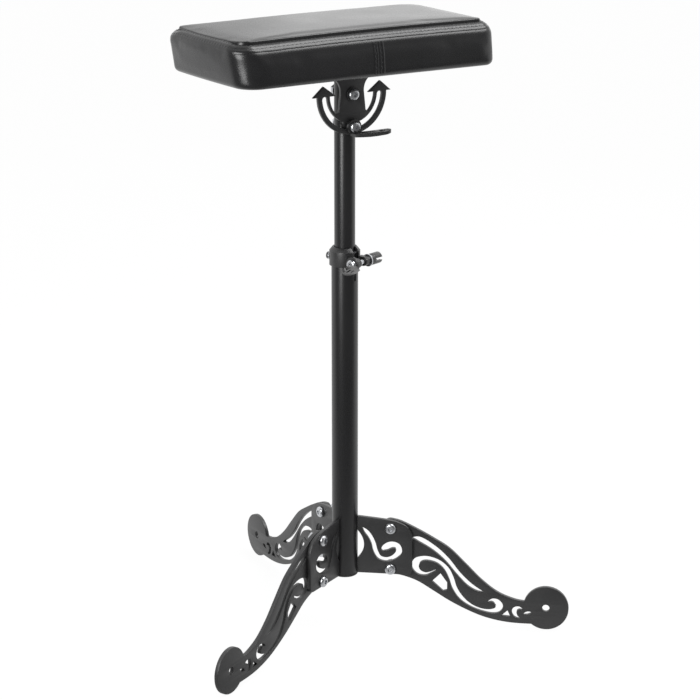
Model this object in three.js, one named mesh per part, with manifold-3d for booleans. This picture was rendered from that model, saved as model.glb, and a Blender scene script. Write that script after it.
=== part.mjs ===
// A tattoo armrest: a padded rest that tilts on a telescopic column, which stands on three flat cut-out legs.
// Millimetres, +Z up. The column's axis is X = Y = 0 and the feet stand on Z = 0.
import * as THREE from 'three';
import { mergeVertices } from 'three/addons/utils/BufferGeometryUtils.js';
import Module from 'manifold-3d';

const wasm = await Module();
wasm.setup();

// Driving dimensions
const columnRadius = 16;
const columnWall = 1.8;
const columnBottom = 66.8;
const columnTop = 475.4;
const mastRadius = 12.5;
const mastWall = 1.5;
const mastLength = 430;
const pivotHeight = 668;
const padLength = 346;
const padWidth = 165;
const padSideHeight = 51;
const padCrown = 8;
const padAzimuth = 33;
const legReach = 250;
const legAzimuths = [-7.5, 118.8, 238.8];
const legSides = [1, -1, -1];
const footRadius = 28;
const plateThickness = 5;

// Shared clearances and steps
const fitGap = 0.3;
const overrun = 1;
const weldDistance = 0.0001;
const leastEdge = 0.02;
const halfTurn = Math.PI;
const quarterTurn = halfTurn / 2;
const degree = halfTurn / 180;
const fullTurn = 2 * halfTurn;
const roundSides = 32;
const smallSides = 12;
const washerSides = 20;

// Fastener sizes: M8 for the frame, M6 for the two clamps
const M8 = { shank: 4, headRadius: 7, headHeight: 4.4, socket: 2.9, nutAcross: 13, nutHeight: 6.5 };
const M6 = { shank: 3, headRadius: 6.6, headHeight: 3.8, socket: 2.3, nutAcross: 10, nutHeight: 5 };

// Materials
const blackSteel = new THREE.MeshStandardMaterial({ color: 0x1b1b1c, roughness: 0.45, metalness: 0.3 });
const blackPlastic = new THREE.MeshStandardMaterial({ color: 0x151515, roughness: 0.6, metalness: 0 });
const zinc = new THREE.MeshStandardMaterial({ color: 0xc9ccd0, roughness: 0.25, metalness: 1 });
const greyNylon = new THREE.MeshStandardMaterial({ color: 0x3a3a3c, roughness: 0.6, metalness: 0 });
const leather = new THREE.MeshStandardMaterial({ color: 0x1c1c1e, roughness: 0.5, metalness: 0 });
const blackCloth = new THREE.MeshStandardMaterial({ color: 0x101010, roughness: 0.9, metalness: 0 });
const foam = new THREE.MeshStandardMaterial({ color: 0xd8c98a, roughness: 1, metalness: 0 });
const plywood = new THREE.MeshStandardMaterial({ color: 0xb58b58, roughness: 0.8, metalness: 0 });

const armrest = new THREE.Group();
armrest.name = 'tattoo_armrest';

// Solid helpers

// Merges a geometry's corners, drops its zero-area triangles and turns its faces outward
function tidy(geometry) {
  const plain = geometry.clone();
  for (const key of Object.keys(plain.attributes)) {
    if (key !== 'position') plain.deleteAttribute(key);
  }
  const merged = mergeVertices(plain, weldDistance);
  const place = merged.attributes.position;
  const faces = [];
  let volume = 0;
  const [a, b, c] = [new THREE.Vector3(), new THREE.Vector3(), new THREE.Vector3()];
  for (let i = 0; i < merged.index.count; i += 3) {
    const [p, q, r] = [0, 1, 2].map((step) => merged.index.getX(i + step));
    if (p === q || q === r || r === p) continue;
    faces.push([p, q, r]);
    volume += a.fromBufferAttribute(place, p)
      .dot(b.fromBufferAttribute(place, q).cross(c.fromBufferAttribute(place, r)));
  }
  merged.setIndex(faces.flatMap((face) => (volume < 0 ? face.reverse() : face)));
  merged.clearGroups();
  merged.computeVertexNormals();
  return merged;
}

function toSolid(geometry) {
  const closed = tidy(geometry);
  return new wasm.Manifold(new wasm.Mesh({
    numProp: 3,
    vertProperties: new Float32Array(closed.attributes.position.array),
    triVerts: new Uint32Array(closed.index.array),
  }));
}

function fromSolid(solid) {
  const mesh = solid.getMesh();
  const geometry = new THREE.BufferGeometry();
  geometry.setAttribute('position', new THREE.BufferAttribute(new Float32Array(mesh.vertProperties), 3));
  geometry.setIndex(new THREE.BufferAttribute(new Uint32Array(mesh.triVerts), 1));
  return geometry;
}

function cut(geometry, ...tools) {
  return fromSolid(tools.reduce((rest, tool) => rest.subtract(toSolid(tool)), toSolid(geometry)));
}

function join(geometry, ...others) {
  return fromSolid(others.reduce((whole, other) => whole.add(toSolid(other)), toSolid(geometry)));
}

function common(geometry, other) {
  return fromSolid(toSolid(geometry).intersect(toSolid(other)));
}

// Adds one named piece to a group
function piece(parent, name, geometry, material) {
  const mesh = new THREE.Mesh(tidy(geometry), material);
  mesh.name = name;
  parent.add(mesh);
  return mesh;
}

// Turns a [radius, height] profile about Z
function turned(profile, sides = roundSides) {
  const points = profile.map(([radius, height]) => new THREE.Vector2(radius, height));
  return new THREE.LatheGeometry(points, sides).rotateX(quarterTurn);
}

// A ring between two radii and two heights
function ring(inner, outer, bottom, top, sides = roundSides) {
  return turned([[inner, bottom], [outer, bottom], [outer, top], [inner, top], [inner, bottom]], sides);
}

function rod(radius, bottom, top, sides = roundSides) {
  return turned([[0, bottom], [radius, bottom], [radius, top], [0, top]], sides);
}

// Stands a solid made along Z so that its axis runs along -Y, towards the front
function facingFront(geometry) {
  return geometry.rotateX(quarterTurn);
}

// An outline that runs counterclockwise, without the points closer than the least edge to the next one
function spaced(points) {
  const kept = points.filter((point, i) => point.distanceTo(points[(i + 1) % points.length]) > leastEdge);
  return THREE.ShapeUtils.isClockWise(kept) ? kept.reverse() : kept;
}

// A flat plate whose outline and holes lie in the X-Z plane, from y = back to y = back - thickness
function uprightPlate(outline, holes, thickness, back) {
  const shape = new THREE.Shape(spaced(outline));
  shape.holes = holes.map((hole) => new THREE.Path(spaced(hole)));
  return new THREE.ExtrudeGeometry(shape, { depth: thickness, bevelEnabled: false })
    .rotateX(quarterTurn).translate(0, back, 0);
}

function block(length, depth, height, x, y, z) {
  return new THREE.BoxGeometry(length, depth, height).translate(x, y, z);
}

// The points of an arc, both ends included
function arc(x, y, radius, from, to, steps) {
  return Array.from({ length: steps + 1 }, (_, i) => {
    const turn = from + (to - from) * i / steps;
    return new THREE.Vector2(x + radius * Math.cos(turn), y + radius * Math.sin(turn));
  });
}

function circle(x, y, radius, sides = smallSides) {
  return arc(x, y, radius, 0, fullTurn, sides).slice(1);
}

// The points of a smooth line through the given points
function smooth(points, steps) {
  return new THREE.SplineCurve(points).getPoints(steps);
}

// The points of a bend from one point to another, pulled towards a corner between them
function bend(start, corner, end, steps) {
  return new THREE.QuadraticBezierCurve(start, corner, end).getPoints(steps);
}

// A swelling stroke: the closed edge of a smooth centre line whose points hold x, y and the half width
function stroke(points, steps) {
  const line = new THREE.CatmullRomCurve3(points, false, 'centripetal');
  const [left, right] = [[], []];
  for (let i = 0; i <= steps; i += 1) {
    const at = line.getPoint(i / steps);
    const way = line.getTangent(i / steps);
    const across = new THREE.Vector2(-way.y, way.x).normalize().multiplyScalar(at.z);
    left.push(new THREE.Vector2(at.x + across.x, at.y + across.y));
    right.push(new THREE.Vector2(at.x - across.x, at.y - across.y));
  }
  return [...left, ...right.reverse()];
}

// A button-head screw along Z: the head stands on z = 0 and the shank goes down
const screwTipShare = 0.25;
const headRimShare = 0.25;
const headCrownShare = 0.55;
const socketDepthShare = 0.6;
const domeSteps = 2;

function buttonScrew(size, length) {
  const tip = size.shank * screwTipShare;
  const rim = size.headHeight * headRimShare;
  const crownRadius = size.headRadius * headCrownShare;
  const profile = [[0, -length], [size.shank - tip, -length], [size.shank, tip - length], [size.shank, 0],
    [size.headRadius, 0]];
  for (let i = 0; i <= domeSteps; i += 1) {
    const turn = quarterTurn * i / domeSteps;
    profile.push([crownRadius + (size.headRadius - crownRadius) * Math.cos(turn),
      rim + (size.headHeight - rim) * Math.sin(turn)]);
  }
  profile.push([0, size.headHeight]);
  const socketDepth = size.headHeight * socketDepthShare;
  const socket = rod(size.socket, size.headHeight - socketDepth, size.headHeight + overrun, hexSides);
  return cut(turned(profile, smallSides), socket);
}

// A hexagon nut along Z with its seat on z = 0, bevelled at both ends and open for a shank
const hexSides = 6;
const nutBevelShare = 0.12;

function hexNut(size) {
  const corner = size.nutAcross / Math.sqrt(3);
  const bevel = size.nutHeight * nutBevelShare;
  const body = turned([[0, 0], [corner - bevel, 0], [corner, bevel], [corner, size.nutHeight - bevel],
    [corner - bevel, size.nutHeight], [0, size.nutHeight]], hexSides);
  return cut(body, rod(size.shank + fitGap, -overrun, size.nutHeight + overrun, smallSides));
}

function washer(inner, outer, thickness) {
  return ring(inner, outer, 0, thickness, washerSides);
}

// Column: the outer tube, its foot cap and its upper guide bush
const column = new THREE.Group();
armrest.add(column);

const slitWidth = 3.4;
const slitLength = 34;
const slitBottom = columnTop - slitLength;
const clampAzimuth = -40;
const clampTurn = clampAzimuth * degree + quarterTurn;
const columnBore = columnRadius - columnWall;

const collarRadius = 18.6;
const collarOverlap = 15.2;
const collarRise = { shoulder: 2.4, top: 7.2 };
const collarBottom = columnTop - collarOverlap;
const collarShoulder = columnTop + collarRise.shoulder;
const collarTop = columnTop + collarRise.top;
const collarLip = 1.6;
const collarInside = columnRadius + fitGap;
const collarMouth = mastRadius + 2 * fitGap;

// The screw that keeps the collar on the column
const collarScrew = { shank: 2.5, headRadius: 4.6, headHeight: 3, socket: 1.5 };
const collarScrewWasher = { radius: 5, thickness: 1.4 };
const collarScrewAzimuth = 155;
const collarScrewTurn = (collarScrewAzimuth - clampAzimuth) * degree;

// Puts a solid made along Z at the collar screw's place, at a distance from the column's axis
function onCollar(geometry, distance) {
  return facingFront(geometry)
    .translate(0, -distance, (collarBottom + collarShoulder) / 2)
    .rotateZ(collarScrewTurn);
}

function collarScrewWay() {
  return onCollar(rod(collarScrew.shank + fitGap, columnBore - overrun, collarRadius + overrun, smallSides), 0);
}

function columnTube() {
  const tube = ring(columnBore, columnRadius, columnBottom, columnTop);
  const reach = columnRadius + overrun;
  const slot = block(slitWidth, reach, columnTop - slitBottom, 0, -reach / 2, (columnTop + slitBottom) / 2)
    .translate(0, 0, overrun);
  const slotEnd = facingFront(rod(slitWidth / 2, 0, reach, smallSides)).translate(0, 0, slitBottom + overrun);
  return cut(tube, slot.rotateZ(clampTurn), slotEnd.rotateZ(clampTurn), collarScrewWay().rotateZ(clampTurn));
}
piece(column, 'column_tube', columnTube(), blackSteel);

const capThickness = 3;
const capPlugHeight = 14;
const capEdge = 1;
piece(column, 'column_foot_cap', turned([
  [0, columnBottom - fitGap - capThickness],
  [columnRadius - capEdge, columnBottom - fitGap - capThickness],
  [columnRadius, columnBottom - fitGap - capThickness + capEdge],
  [columnRadius, columnBottom - fitGap],
  [columnBore - fitGap, columnBottom - fitGap],
  [columnBore - fitGap, columnBottom + capPlugHeight],
  [0, columnBottom + capPlugHeight],
]), blackPlastic);

const bushLength = 45;
const bushFlange = 1.4;
const bushBore = mastRadius + fitGap;
piece(column, 'upper_guide_bush', turned([
  [bushBore, columnTop - bushLength],
  [columnBore - fitGap, columnTop - bushLength],
  [columnBore - fitGap, columnTop + fitGap],
  [columnRadius - fitGap, columnTop + fitGap],
  [columnRadius - fitGap, columnTop + fitGap + bushFlange],
  [bushBore, columnTop + fitGap + bushFlange],
  [bushBore, columnTop - bushLength],
]), greyNylon);

// Base: three wing plates on the column, and a leg plate bolted to each
const wingRoot = columnRadius + fitGap;
const wingReach = 84;
const wingDrop = 0.8;
const wingBottom = columnBottom - wingDrop;
const screwMargins = { bottom: 6.6, top: 14.5 };
const screwSpacing = 53.4;
const lowerScrewHeight = wingBottom + screwMargins.bottom;
const upperScrewHeight = lowerScrewHeight + screwSpacing;
const legScrewHeights = { upper: upperScrewHeight, lower: lowerScrewHeight };
const wingTop = upperScrewHeight + screwMargins.top;
const wingCorner = 7;
const wingTopShares = [
  [0.58, 0.949], [0.8, 0.895], [0.925, 0.82],
];
const wingEndShare = 0.7;
const lensTopShare = 0.75;
const lensBottomShare = 0.262;
const lensDepth = 15.4;
// The wing's scroll: [share of its depth, share of its height, half width as a share of its depth]
const wingScrollShares = [
  [0.084, 0.805, 0.007], [0.154, 0.732, 0.04], [0.228, 0.642, 0.042], [0.287, 0.529, 0.041],
  [0.324, 0.399, 0.043], [0.402, 0.282, 0.042], [0.541, 0.255, 0.042], [0.671, 0.304, 0.045],
  [0.756, 0.399, 0.055], [0.723, 0.496, 0.058], [0.615, 0.514, 0.065], [0.504, 0.461, 0.06],
  [0.442, 0.411, 0.022],
];

// The leg's cut-outs and edges: [share of the way from the screws to the foot, height and half width as shares of
// the upper screw's height]
const slitShares = [
  [0.142, 0.897, 0.008], [0.179, 0.887, 0.026], [0.282, 0.794, 0.027], [0.361, 0.685, 0.024],
  [0.438, 0.54, 0.021], [0.508, 0.433, 0.023], [0.56, 0.383, 0.017], [0.601, 0.359, 0.004],
];
const scrollShares = [
  [0.29, 0.569, 0.006], [0.255, 0.54, 0.009], [0.22, 0.524, 0.017], [0.18, 0.542, 0.027],
  [0.158, 0.595, 0.034], [0.167, 0.653, 0.035], [0.197, 0.681, 0.027], [0.24, 0.687, 0.024],
  [0.308, 0.655, 0.022], [0.36, 0.583, 0.025], [0.391, 0.488, 0.025], [0.412, 0.391, 0.024],
  [0.455, 0.29, 0.023], [0.518, 0.214, 0.016], [0.593, 0.171, 0.015], [0.657, 0.163, 0.024],
  [0.69, 0.181, 0.032], [0.701, 0.222, 0.037], [0.685, 0.262, 0.031], [0.661, 0.277, 0.021],
  [0.64, 0.269, 0.01], [0.626, 0.252, 0.003],
];
const crescentShares = [
  [0.85, 0.196, 0.006], [0.828, 0.21, 0.017], [0.804, 0.196, 0.023], [0.798, 0.163, 0.023],
  [0.808, 0.127, 0.018], [0.832, 0.101, 0.006],
];
const dropShares = [
  [0.856, 0.143, 0.004], [0.878, 0.159, 0.016], [0.898, 0.166, 0.012], [0.907, 0.165, 0.006],
];
const triangleShares = [
  [0.321, 0.536], [0.364, 0.444], [0.364, 0.363], [0.338, 0.351], [0.266, 0.45],
];
const smallTriangleShares = [
  [0.755, 0.179], [0.775, 0.113], [0.714, 0.119],
];
const legScrewRadius = 57;
const screwHole = M8.shank + fitGap;

const wingSteps = { corner: 4, top: 12, lens: 8, scroll: 30 };

function wingPlate() {
  const height = wingTop - wingBottom;
  const at = (x, z) => new THREE.Vector2(x, wingBottom + z * height);
  const outline = [
    at(wingRoot, 0),
    ...bend(new THREE.Vector2(wingReach - wingCorner, wingBottom), at(wingReach, 0),
      new THREE.Vector2(wingReach, wingBottom + wingCorner), wingSteps.corner),
    ...smooth([at(wingReach, wingEndShare),
      ...[...wingTopShares].reverse().map(([x, z]) => at(wingRoot + x * (wingReach - wingRoot), z)),
      at(wingRoot, 1)], wingSteps.top),
    ...bend(at(wingRoot, lensTopShare), at(wingRoot + lensDepth, (lensTopShare + lensBottomShare) / 2),
      at(wingRoot, lensBottomShare), wingSteps.lens),
  ];
  const holes = Object.values(legScrewHeights).map((z) => circle(legScrewRadius, z, screwHole));
  const depth = wingReach - wingRoot;
  const scroll = wingScrollShares.map(([x, z, half]) =>
    new THREE.Vector3(wingRoot + x * depth, wingBottom + z * height, half * depth));
  return uprightPlate(outline, [stroke(scroll, wingSteps.scroll), ...holes], plateThickness, plateThickness / 2);
}

const earRadii = { upper: 11, lower: 9 };
const legTopShares = [
  [0.067, 1.063], [0.171, 0.988], [0.275, 0.901], [0.378, 0.802], [0.482, 0.647], [0.585, 0.488],
  [0.689, 0.367], [0.793, 0.302],
];
const legBottomShares = [
  [0.793, 0.052], [0.689, 0.071], [0.585, 0.111], [0.482, 0.175], [0.378, 0.256], [0.275, 0.353],
  [0.171, 0.448], [0.067, 0.5],
];
const neckTopTurn = 164;
const neckBottomTurn = 231;
const footHole = 4.6;

const legSteps = { ear: 6, edge: 20, foot: 22, slit: 14, scroll: 38, crescent: 10, drop: 5 };

function legPlate() {
  const { upper, lower } = legScrewHeights;
  const along = (share) => legScrewRadius + share * (legReach - legScrewRadius);
  const at = ([x, z]) => new THREE.Vector2(along(x), z * upper);
  const cutOut = (shares, steps) => stroke(
    shares.map(([x, z, half]) => new THREE.Vector3(along(x), z * upper, half * upper)),
    steps,
  );
  const notch = [lower + earRadii.lower, upper - earRadii.upper];
  const foot = (turn) => arc(legReach, footRadius, footRadius, turn, turn, 1)[0];
  const [neckTop, neckBottom] = [neckTopTurn * degree, neckBottomTurn * degree];
  const outline = [
    ...arc(legScrewRadius, lower, earRadii.lower, -quarterTurn, -3 * quarterTurn, legSteps.ear),
    ...arc(legScrewRadius, (notch[0] + notch[1]) / 2, (notch[1] - notch[0]) / 2, -quarterTurn, quarterTurn,
      legSteps.ear),
    ...arc(legScrewRadius, upper, earRadii.upper, -quarterTurn, -3 * quarterTurn, legSteps.ear),
    ...smooth([new THREE.Vector2(legScrewRadius, upper + earRadii.upper), ...legTopShares.map(at), foot(neckTop)],
      legSteps.edge),
    ...arc(legReach, footRadius, footRadius, neckTop, neckBottom - fullTurn, legSteps.foot),
    ...smooth([foot(neckBottom), ...legBottomShares.map(at),
      new THREE.Vector2(legScrewRadius, lower - earRadii.lower)], legSteps.edge),
  ];
  return uprightPlate(outline, [
    circle(legScrewRadius, upper, screwHole),
    circle(legScrewRadius, lower, screwHole),
    cutOut(slitShares, legSteps.slit),
    cutOut(scrollShares, legSteps.scroll),
    cutOut(crescentShares, legSteps.crescent),
    cutOut(dropShares, legSteps.drop),
    triangleShares.map(at),
    smallTriangleShares.map(at),
    circle(legReach, footRadius, footHole),
  ], plateThickness, plateThickness / 2);
}

legAzimuths.forEach((azimuth, index) => {
  const side = legSides[index];
  const number = index + 1;
  const leg = new THREE.Group();
  leg.rotation.z = azimuth * degree;
  armrest.add(leg);
  piece(leg, `wing_plate_${number}`, wingPlate(), blackSteel);
  piece(leg, `leg_plate_${number}`, legPlate(), blackSteel).position.y = side * (plateThickness + fitGap);
  for (const [level, height] of Object.entries(legScrewHeights)) {
    const gripLength = 2 * plateThickness + 3 * fitGap + M8.nutHeight + overrun;
    const screw = piece(leg, `leg_screw_${number}_${level}`, facingFront(buttonScrew(M8, gripLength)), zinc);
    screw.position.set(legScrewRadius, -side * (plateThickness / 2 + fitGap), height);
    screw.rotation.z = side > 0 ? 0 : halfTurn;
    const nut = piece(leg, `leg_nut_${number}_${level}`, facingFront(hexNut(M8)), zinc);
    nut.position.set(legScrewRadius, side * (plateThickness * 3 / 2 + 2 * fitGap), height);
    nut.rotation.z = side > 0 ? halfTurn : 0;
  }
});

// Clamp collar round the column's top, its bolt, lever, washers and slotted nut
const clamp = new THREE.Group();
clamp.rotation.z = clampTurn;
armrest.add(clamp);

const earReach = 25;
const earRadius = 5.6;
const earEnds = { lever: 11, nut: 12 };
const earGap = 9;
const clampDrop = 8.9;
const clampHeight = columnTop - clampDrop;
const clampBoltHole = M6.shank + fitGap;

// A solid made along Z, laid along the clamp bolt with its origin at the given distance from the middle
function alongClampBolt(geometry, distance) {
  return geometry.rotateY(quarterTurn).translate(distance, -earReach, clampHeight);
}

function clampCollar() {
  const ledge = columnTop + bushFlange + 2 * fitGap;
  const body = turned([
    [collarInside, collarBottom], [collarRadius, collarBottom], [collarRadius, collarShoulder],
    [collarMouth + collarLip, collarTop], [collarMouth, collarTop], [collarMouth, ledge],
    [collarInside, ledge], [collarInside, collarBottom],
  ]);
  const ear = [
    ...arc(earReach, clampHeight, earRadius, -quarterTurn, quarterTurn, smallSides / 2),
    new THREE.Vector2(columnRadius, clampHeight + earRadius),
    new THREE.Vector2(columnRadius, clampHeight - earRadius),
  ];
  const ears = uprightPlate(ear, [], earEnds.lever + earEnds.nut, earEnds.nut).rotateZ(-quarterTurn);
  const bore = rod(collarInside, collarBottom - overrun, ledge);
  const mouth = rod(collarMouth, collarBottom, collarTop + overrun);
  const reach = earReach + earRadius + overrun;
  const gapHeight = collarTop - collarBottom + 2 * overrun;
  const gap = block(earGap, reach, gapHeight, 0, -reach / 2, (collarTop + collarBottom) / 2);
  const boltWay = alongClampBolt(
    rod(clampBoltHole, -earEnds.lever - overrun, earEnds.nut + overrun, smallSides),
    0,
  );
  return cut(join(body, ears), bore, mouth, gap, boltWay, collarScrewWay());
}
piece(clamp, 'clamp_collar', clampCollar(), blackSteel);

const washerThickness = 1.5;
const washerRadius = 7.6;
const slottedNutLength = 18;
const slottedNutRadius = 7;
const nutSlot = 3.6;
const nutSlotDepth = 12;
const washerStep = fitGap + washerThickness;
const farSeat = earEnds.nut + washerStep + fitGap;
const nearSeat = earEnds.lever + washerStep + fitGap;
piece(clamp, 'clamp_washer_nut_side',
  alongClampBolt(washer(clampBoltHole, washerRadius, washerThickness), earEnds.nut + fitGap), zinc);
piece(clamp, 'clamp_washer_lever_side',
  alongClampBolt(washer(clampBoltHole, washerRadius, washerThickness), -earEnds.lever - washerStep), zinc);

function slottedNut() {
  const body = ring(clampBoltHole, slottedNutRadius, 0, slottedNutLength, washerSides);
  const slotLength = nutSlotDepth + overrun;
  const slot = block(nutSlot, 2 * (slottedNutRadius + overrun), slotLength, 0, 0,
    slottedNutLength - nutSlotDepth + slotLength / 2);
  return cut(body, slot);
}
piece(clamp, 'clamp_slotted_nut', alongClampBolt(slottedNut(), farSeat), blackSteel);

// Both clamps have the same lever: a round hub on the bolt, and a flat blade that leans out from under its head
const lever = {
  hubRadius: 9.2, hubThickness: 3.4, length: 46, halfWidth: 8.5, thickness: 3.6, drop: 7, rise: 5.5,
};
const leverLeans = { clamp: 65 * degree, lock: 32 * degree };
const leverHoles = [{ alongShare: 0.457, radius: 2.4 }, { alongShare: 0.739, radius: 3.2 }];
const rootShare = 0.45;
const waistShare = 0.35;
const tipShare = 0.7;
const leverSteps = 5;

// The lever with its hub standing on z = 0 round the bolt's axis, and its blade pointing along X below that axis
function clampLever(lean) {
  const blade = (along, across) => new THREE.Vector2(
    along * Math.cos(lean) - across * Math.sin(lean),
    along * Math.sin(lean) + across * Math.cos(lean),
  );
  const { length, halfWidth, drop, thickness, rise, hubRadius } = lever;
  const root = rootShare * hubRadius;
  const tip = length - tipShare * halfWidth;
  const heel = new THREE.Vector2(-root, halfWidth * (1 + waistShare));
  const plan = [
    new THREE.Vector2(-root, 0),
    ...bend(new THREE.Vector2(root, 0), blade(waistShare * length, -halfWidth), blade(tip, -tipShare * halfWidth),
      leverSteps),
    ...bend(blade(tip, -tipShare * halfWidth), blade(length + (1 - tipShare) * halfWidth, 0),
      blade(tip, tipShare * halfWidth), leverSteps),
    ...bend(blade(tip, tipShare * halfWidth), blade(waistShare * length, halfWidth * (1 + waistShare)), heel,
      leverSteps),
  ];
  const holes = leverHoles.map(({ alongShare, radius }) => {
    const middle = blade(alongShare * length, 0);
    return circle(middle.x, middle.y, radius);
  });
  const broad = uprightPlate(plan, holes, drop + thickness, 0);
  const sideLine = (height) => bend(new THREE.Vector2(root, height), new THREE.Vector2(length / 2, height),
    new THREE.Vector2(length, rise + height), leverSteps);
  const side = new THREE.Shape([
    new THREE.Vector2(-hubRadius, -drop - thickness),
    ...sideLine(-drop - thickness),
    ...sideLine(-drop).reverse(),
    new THREE.Vector2(-hubRadius, -drop),
  ]);
  const profile = new THREE.ExtrudeGeometry(side, { depth: length, bevelEnabled: false });
  const hub = rod(hubRadius, 0, lever.hubThickness, washerSides);
  const boltWay = rod(M6.shank + fitGap, -overrun, length, smallSides);
  return cut(join(hub, common(broad, profile)), boltWay);
}

const clampLeverTurn = 38 * degree;
const onNearEnd = (geometry, out) => geometry.rotateX(quarterTurn).rotateZ(-quarterTurn)
  .translate(-out, -earReach, clampHeight);
const clampBoltLength = nearSeat + lever.hubThickness + fitGap + farSeat + slottedNutLength - nutSlotDepth;
piece(clamp, 'clamp_lever', onNearEnd(clampLever(leverLeans.clamp).rotateZ(clampLeverTurn), nearSeat),
  blackSteel);
piece(clamp, 'clamp_bolt',
  onNearEnd(buttonScrew(M6, clampBoltLength), nearSeat + lever.hubThickness + fitGap), zinc);

piece(clamp, 'collar_screw_washer', onCollar(washer(collarScrew.shank + fitGap, collarScrewWasher.radius,
  collarScrewWasher.thickness), collarRadius + fitGap), zinc);
const collarScrewSeat = collarRadius + 2 * fitGap + collarScrewWasher.thickness;
piece(clamp, 'collar_screw', onCollar(buttonScrew(collarScrew, collarScrewSeat - columnBore), collarScrewSeat),
  blackSteel);

// Mast: the inner tube, its top plug, the pivot bolt and the tilt clamp's nut
const mast = new THREE.Group();
mast.rotation.z = padAzimuth * degree;
armrest.add(mast);

const mastAbovePivot = 14;
const mastTop = pivotHeight + mastAbovePivot;
const mastBottom = mastTop - mastLength;
const slotRadius = 38;
const lockHeight = pivotHeight - slotRadius;
const plugDepth = 8;
const plugFlange = 1.5;

function throughWay(size, height) {
  return facingFront(rod(size.shank + fitGap, -mastRadius - overrun, mastRadius + overrun, smallSides))
    .translate(0, 0, height);
}
piece(mast, 'mast_tube', cut(ring(mastRadius - mastWall, mastRadius, mastBottom, mastTop),
  throughWay(M8, pivotHeight), throughWay(M6, lockHeight)), blackSteel);
piece(mast, 'mast_top_plug', turned([
  [0, mastTop - plugDepth], [mastRadius - mastWall - fitGap, mastTop - plugDepth],
  [mastRadius - mastWall - fitGap, mastTop + fitGap], [mastRadius - fitGap, mastTop + fitGap],
  [mastRadius - fitGap, mastTop + fitGap + plugFlange], [0, mastTop + fitGap + plugFlange],
]), blackPlastic);

const tiltPlateThickness = 4;
const tiltPlateBack = mastRadius + fitGap;
const frontSeat = tiltPlateBack + tiltPlateThickness + fitGap;
const thinWasher = 1.2;
const pivotWasherRadius = 8.6;
const frontHead = frontSeat + thinWasher + fitGap;
const backSeat = mastRadius + fitGap;
const backNut = backSeat + thinWasher + fitGap;

// Puts a solid made along Z on the front or the back of the mast, at a distance from its axis
const onFront = (geometry, distance, height) => facingFront(geometry).translate(0, -distance, height);
const onBack = (geometry, distance, height) => onFront(geometry, distance, 0).rotateZ(halfTurn)
  .translate(0, 0, height);

piece(mast, 'pivot_washer_front',
  onFront(washer(screwHole, pivotWasherRadius, thinWasher), frontSeat, pivotHeight), blackSteel);
piece(mast, 'pivot_bolt',
  onFront(buttonScrew(M8, frontHead + backNut + M8.nutHeight + overrun), frontHead, pivotHeight), zinc);
piece(mast, 'pivot_washer_back',
  onBack(washer(screwHole, pivotWasherRadius, thinWasher), backSeat, pivotHeight), zinc);
piece(mast, 'pivot_nut', onBack(hexNut(M8), backNut, pivotHeight), zinc);
piece(mast, 'lock_washer_back',
  onBack(washer(clampBoltHole, washerRadius, thinWasher), backSeat, lockHeight), zinc);
piece(mast, 'lock_nut', onBack(hexNut(M6), backNut, lockHeight), zinc);

// Tilt lock: the bolt through the arc slot, its washer and its lever
const lockLeverSeat = frontHead;
const lockBoltHead = lockLeverSeat + lever.hubThickness + fitGap;
piece(mast, 'lock_washer_front', onFront(washer(clampBoltHole, washerRadius, thinWasher), frontSeat, lockHeight),
  zinc);
piece(mast, 'lock_lever', onFront(clampLever(leverLeans.lock), lockLeverSeat, lockHeight), blackSteel);
piece(mast, 'lock_bolt',
  onFront(buttonScrew(M6, lockBoltHead + backNut + M6.nutHeight + overrun), lockBoltHead, lockHeight), zinc);

// Lower guide: a cup on the mast's foot that slides in the column
const guideDepth = 30;
const guideFloor = 4;
piece(column, 'lower_guide', turned([
  [0, mastBottom - fitGap - guideFloor], [columnBore - fitGap, mastBottom - fitGap - guideFloor],
  [columnBore - fitGap, mastBottom + guideDepth], [mastRadius + fitGap, mastBottom + guideDepth],
  [mastRadius + fitGap, mastBottom - fitGap], [0, mastBottom - fitGap],
]), greyNylon);

// Head: the tilt plate and the pad's base plate
const head = new THREE.Group();
head.rotation.z = padAzimuth * degree;
head.position.z = pivotHeight;
armrest.add(head);

const shankHalf = 16;
const shankFootHalf = 20.5;
const shankFoot = -21.5;
const flareHalf = 38;
const tiltPlateTop = 24.6;
const flareStart = 3;
const notchReach = 2;
const armInner = 31;
const armOuter = 47.5;
const slotHalf = 3.6;
const barbInner = 22.5;
const barbOuter = 53.8;
const arrowHeight = 12.2;

const slotEndTurn = 5 * degree;
const flareShare = 0.8;
const tiltSteps = { flare: 8, notch: 5, arc: 12, slotEnd: 6 };

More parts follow.
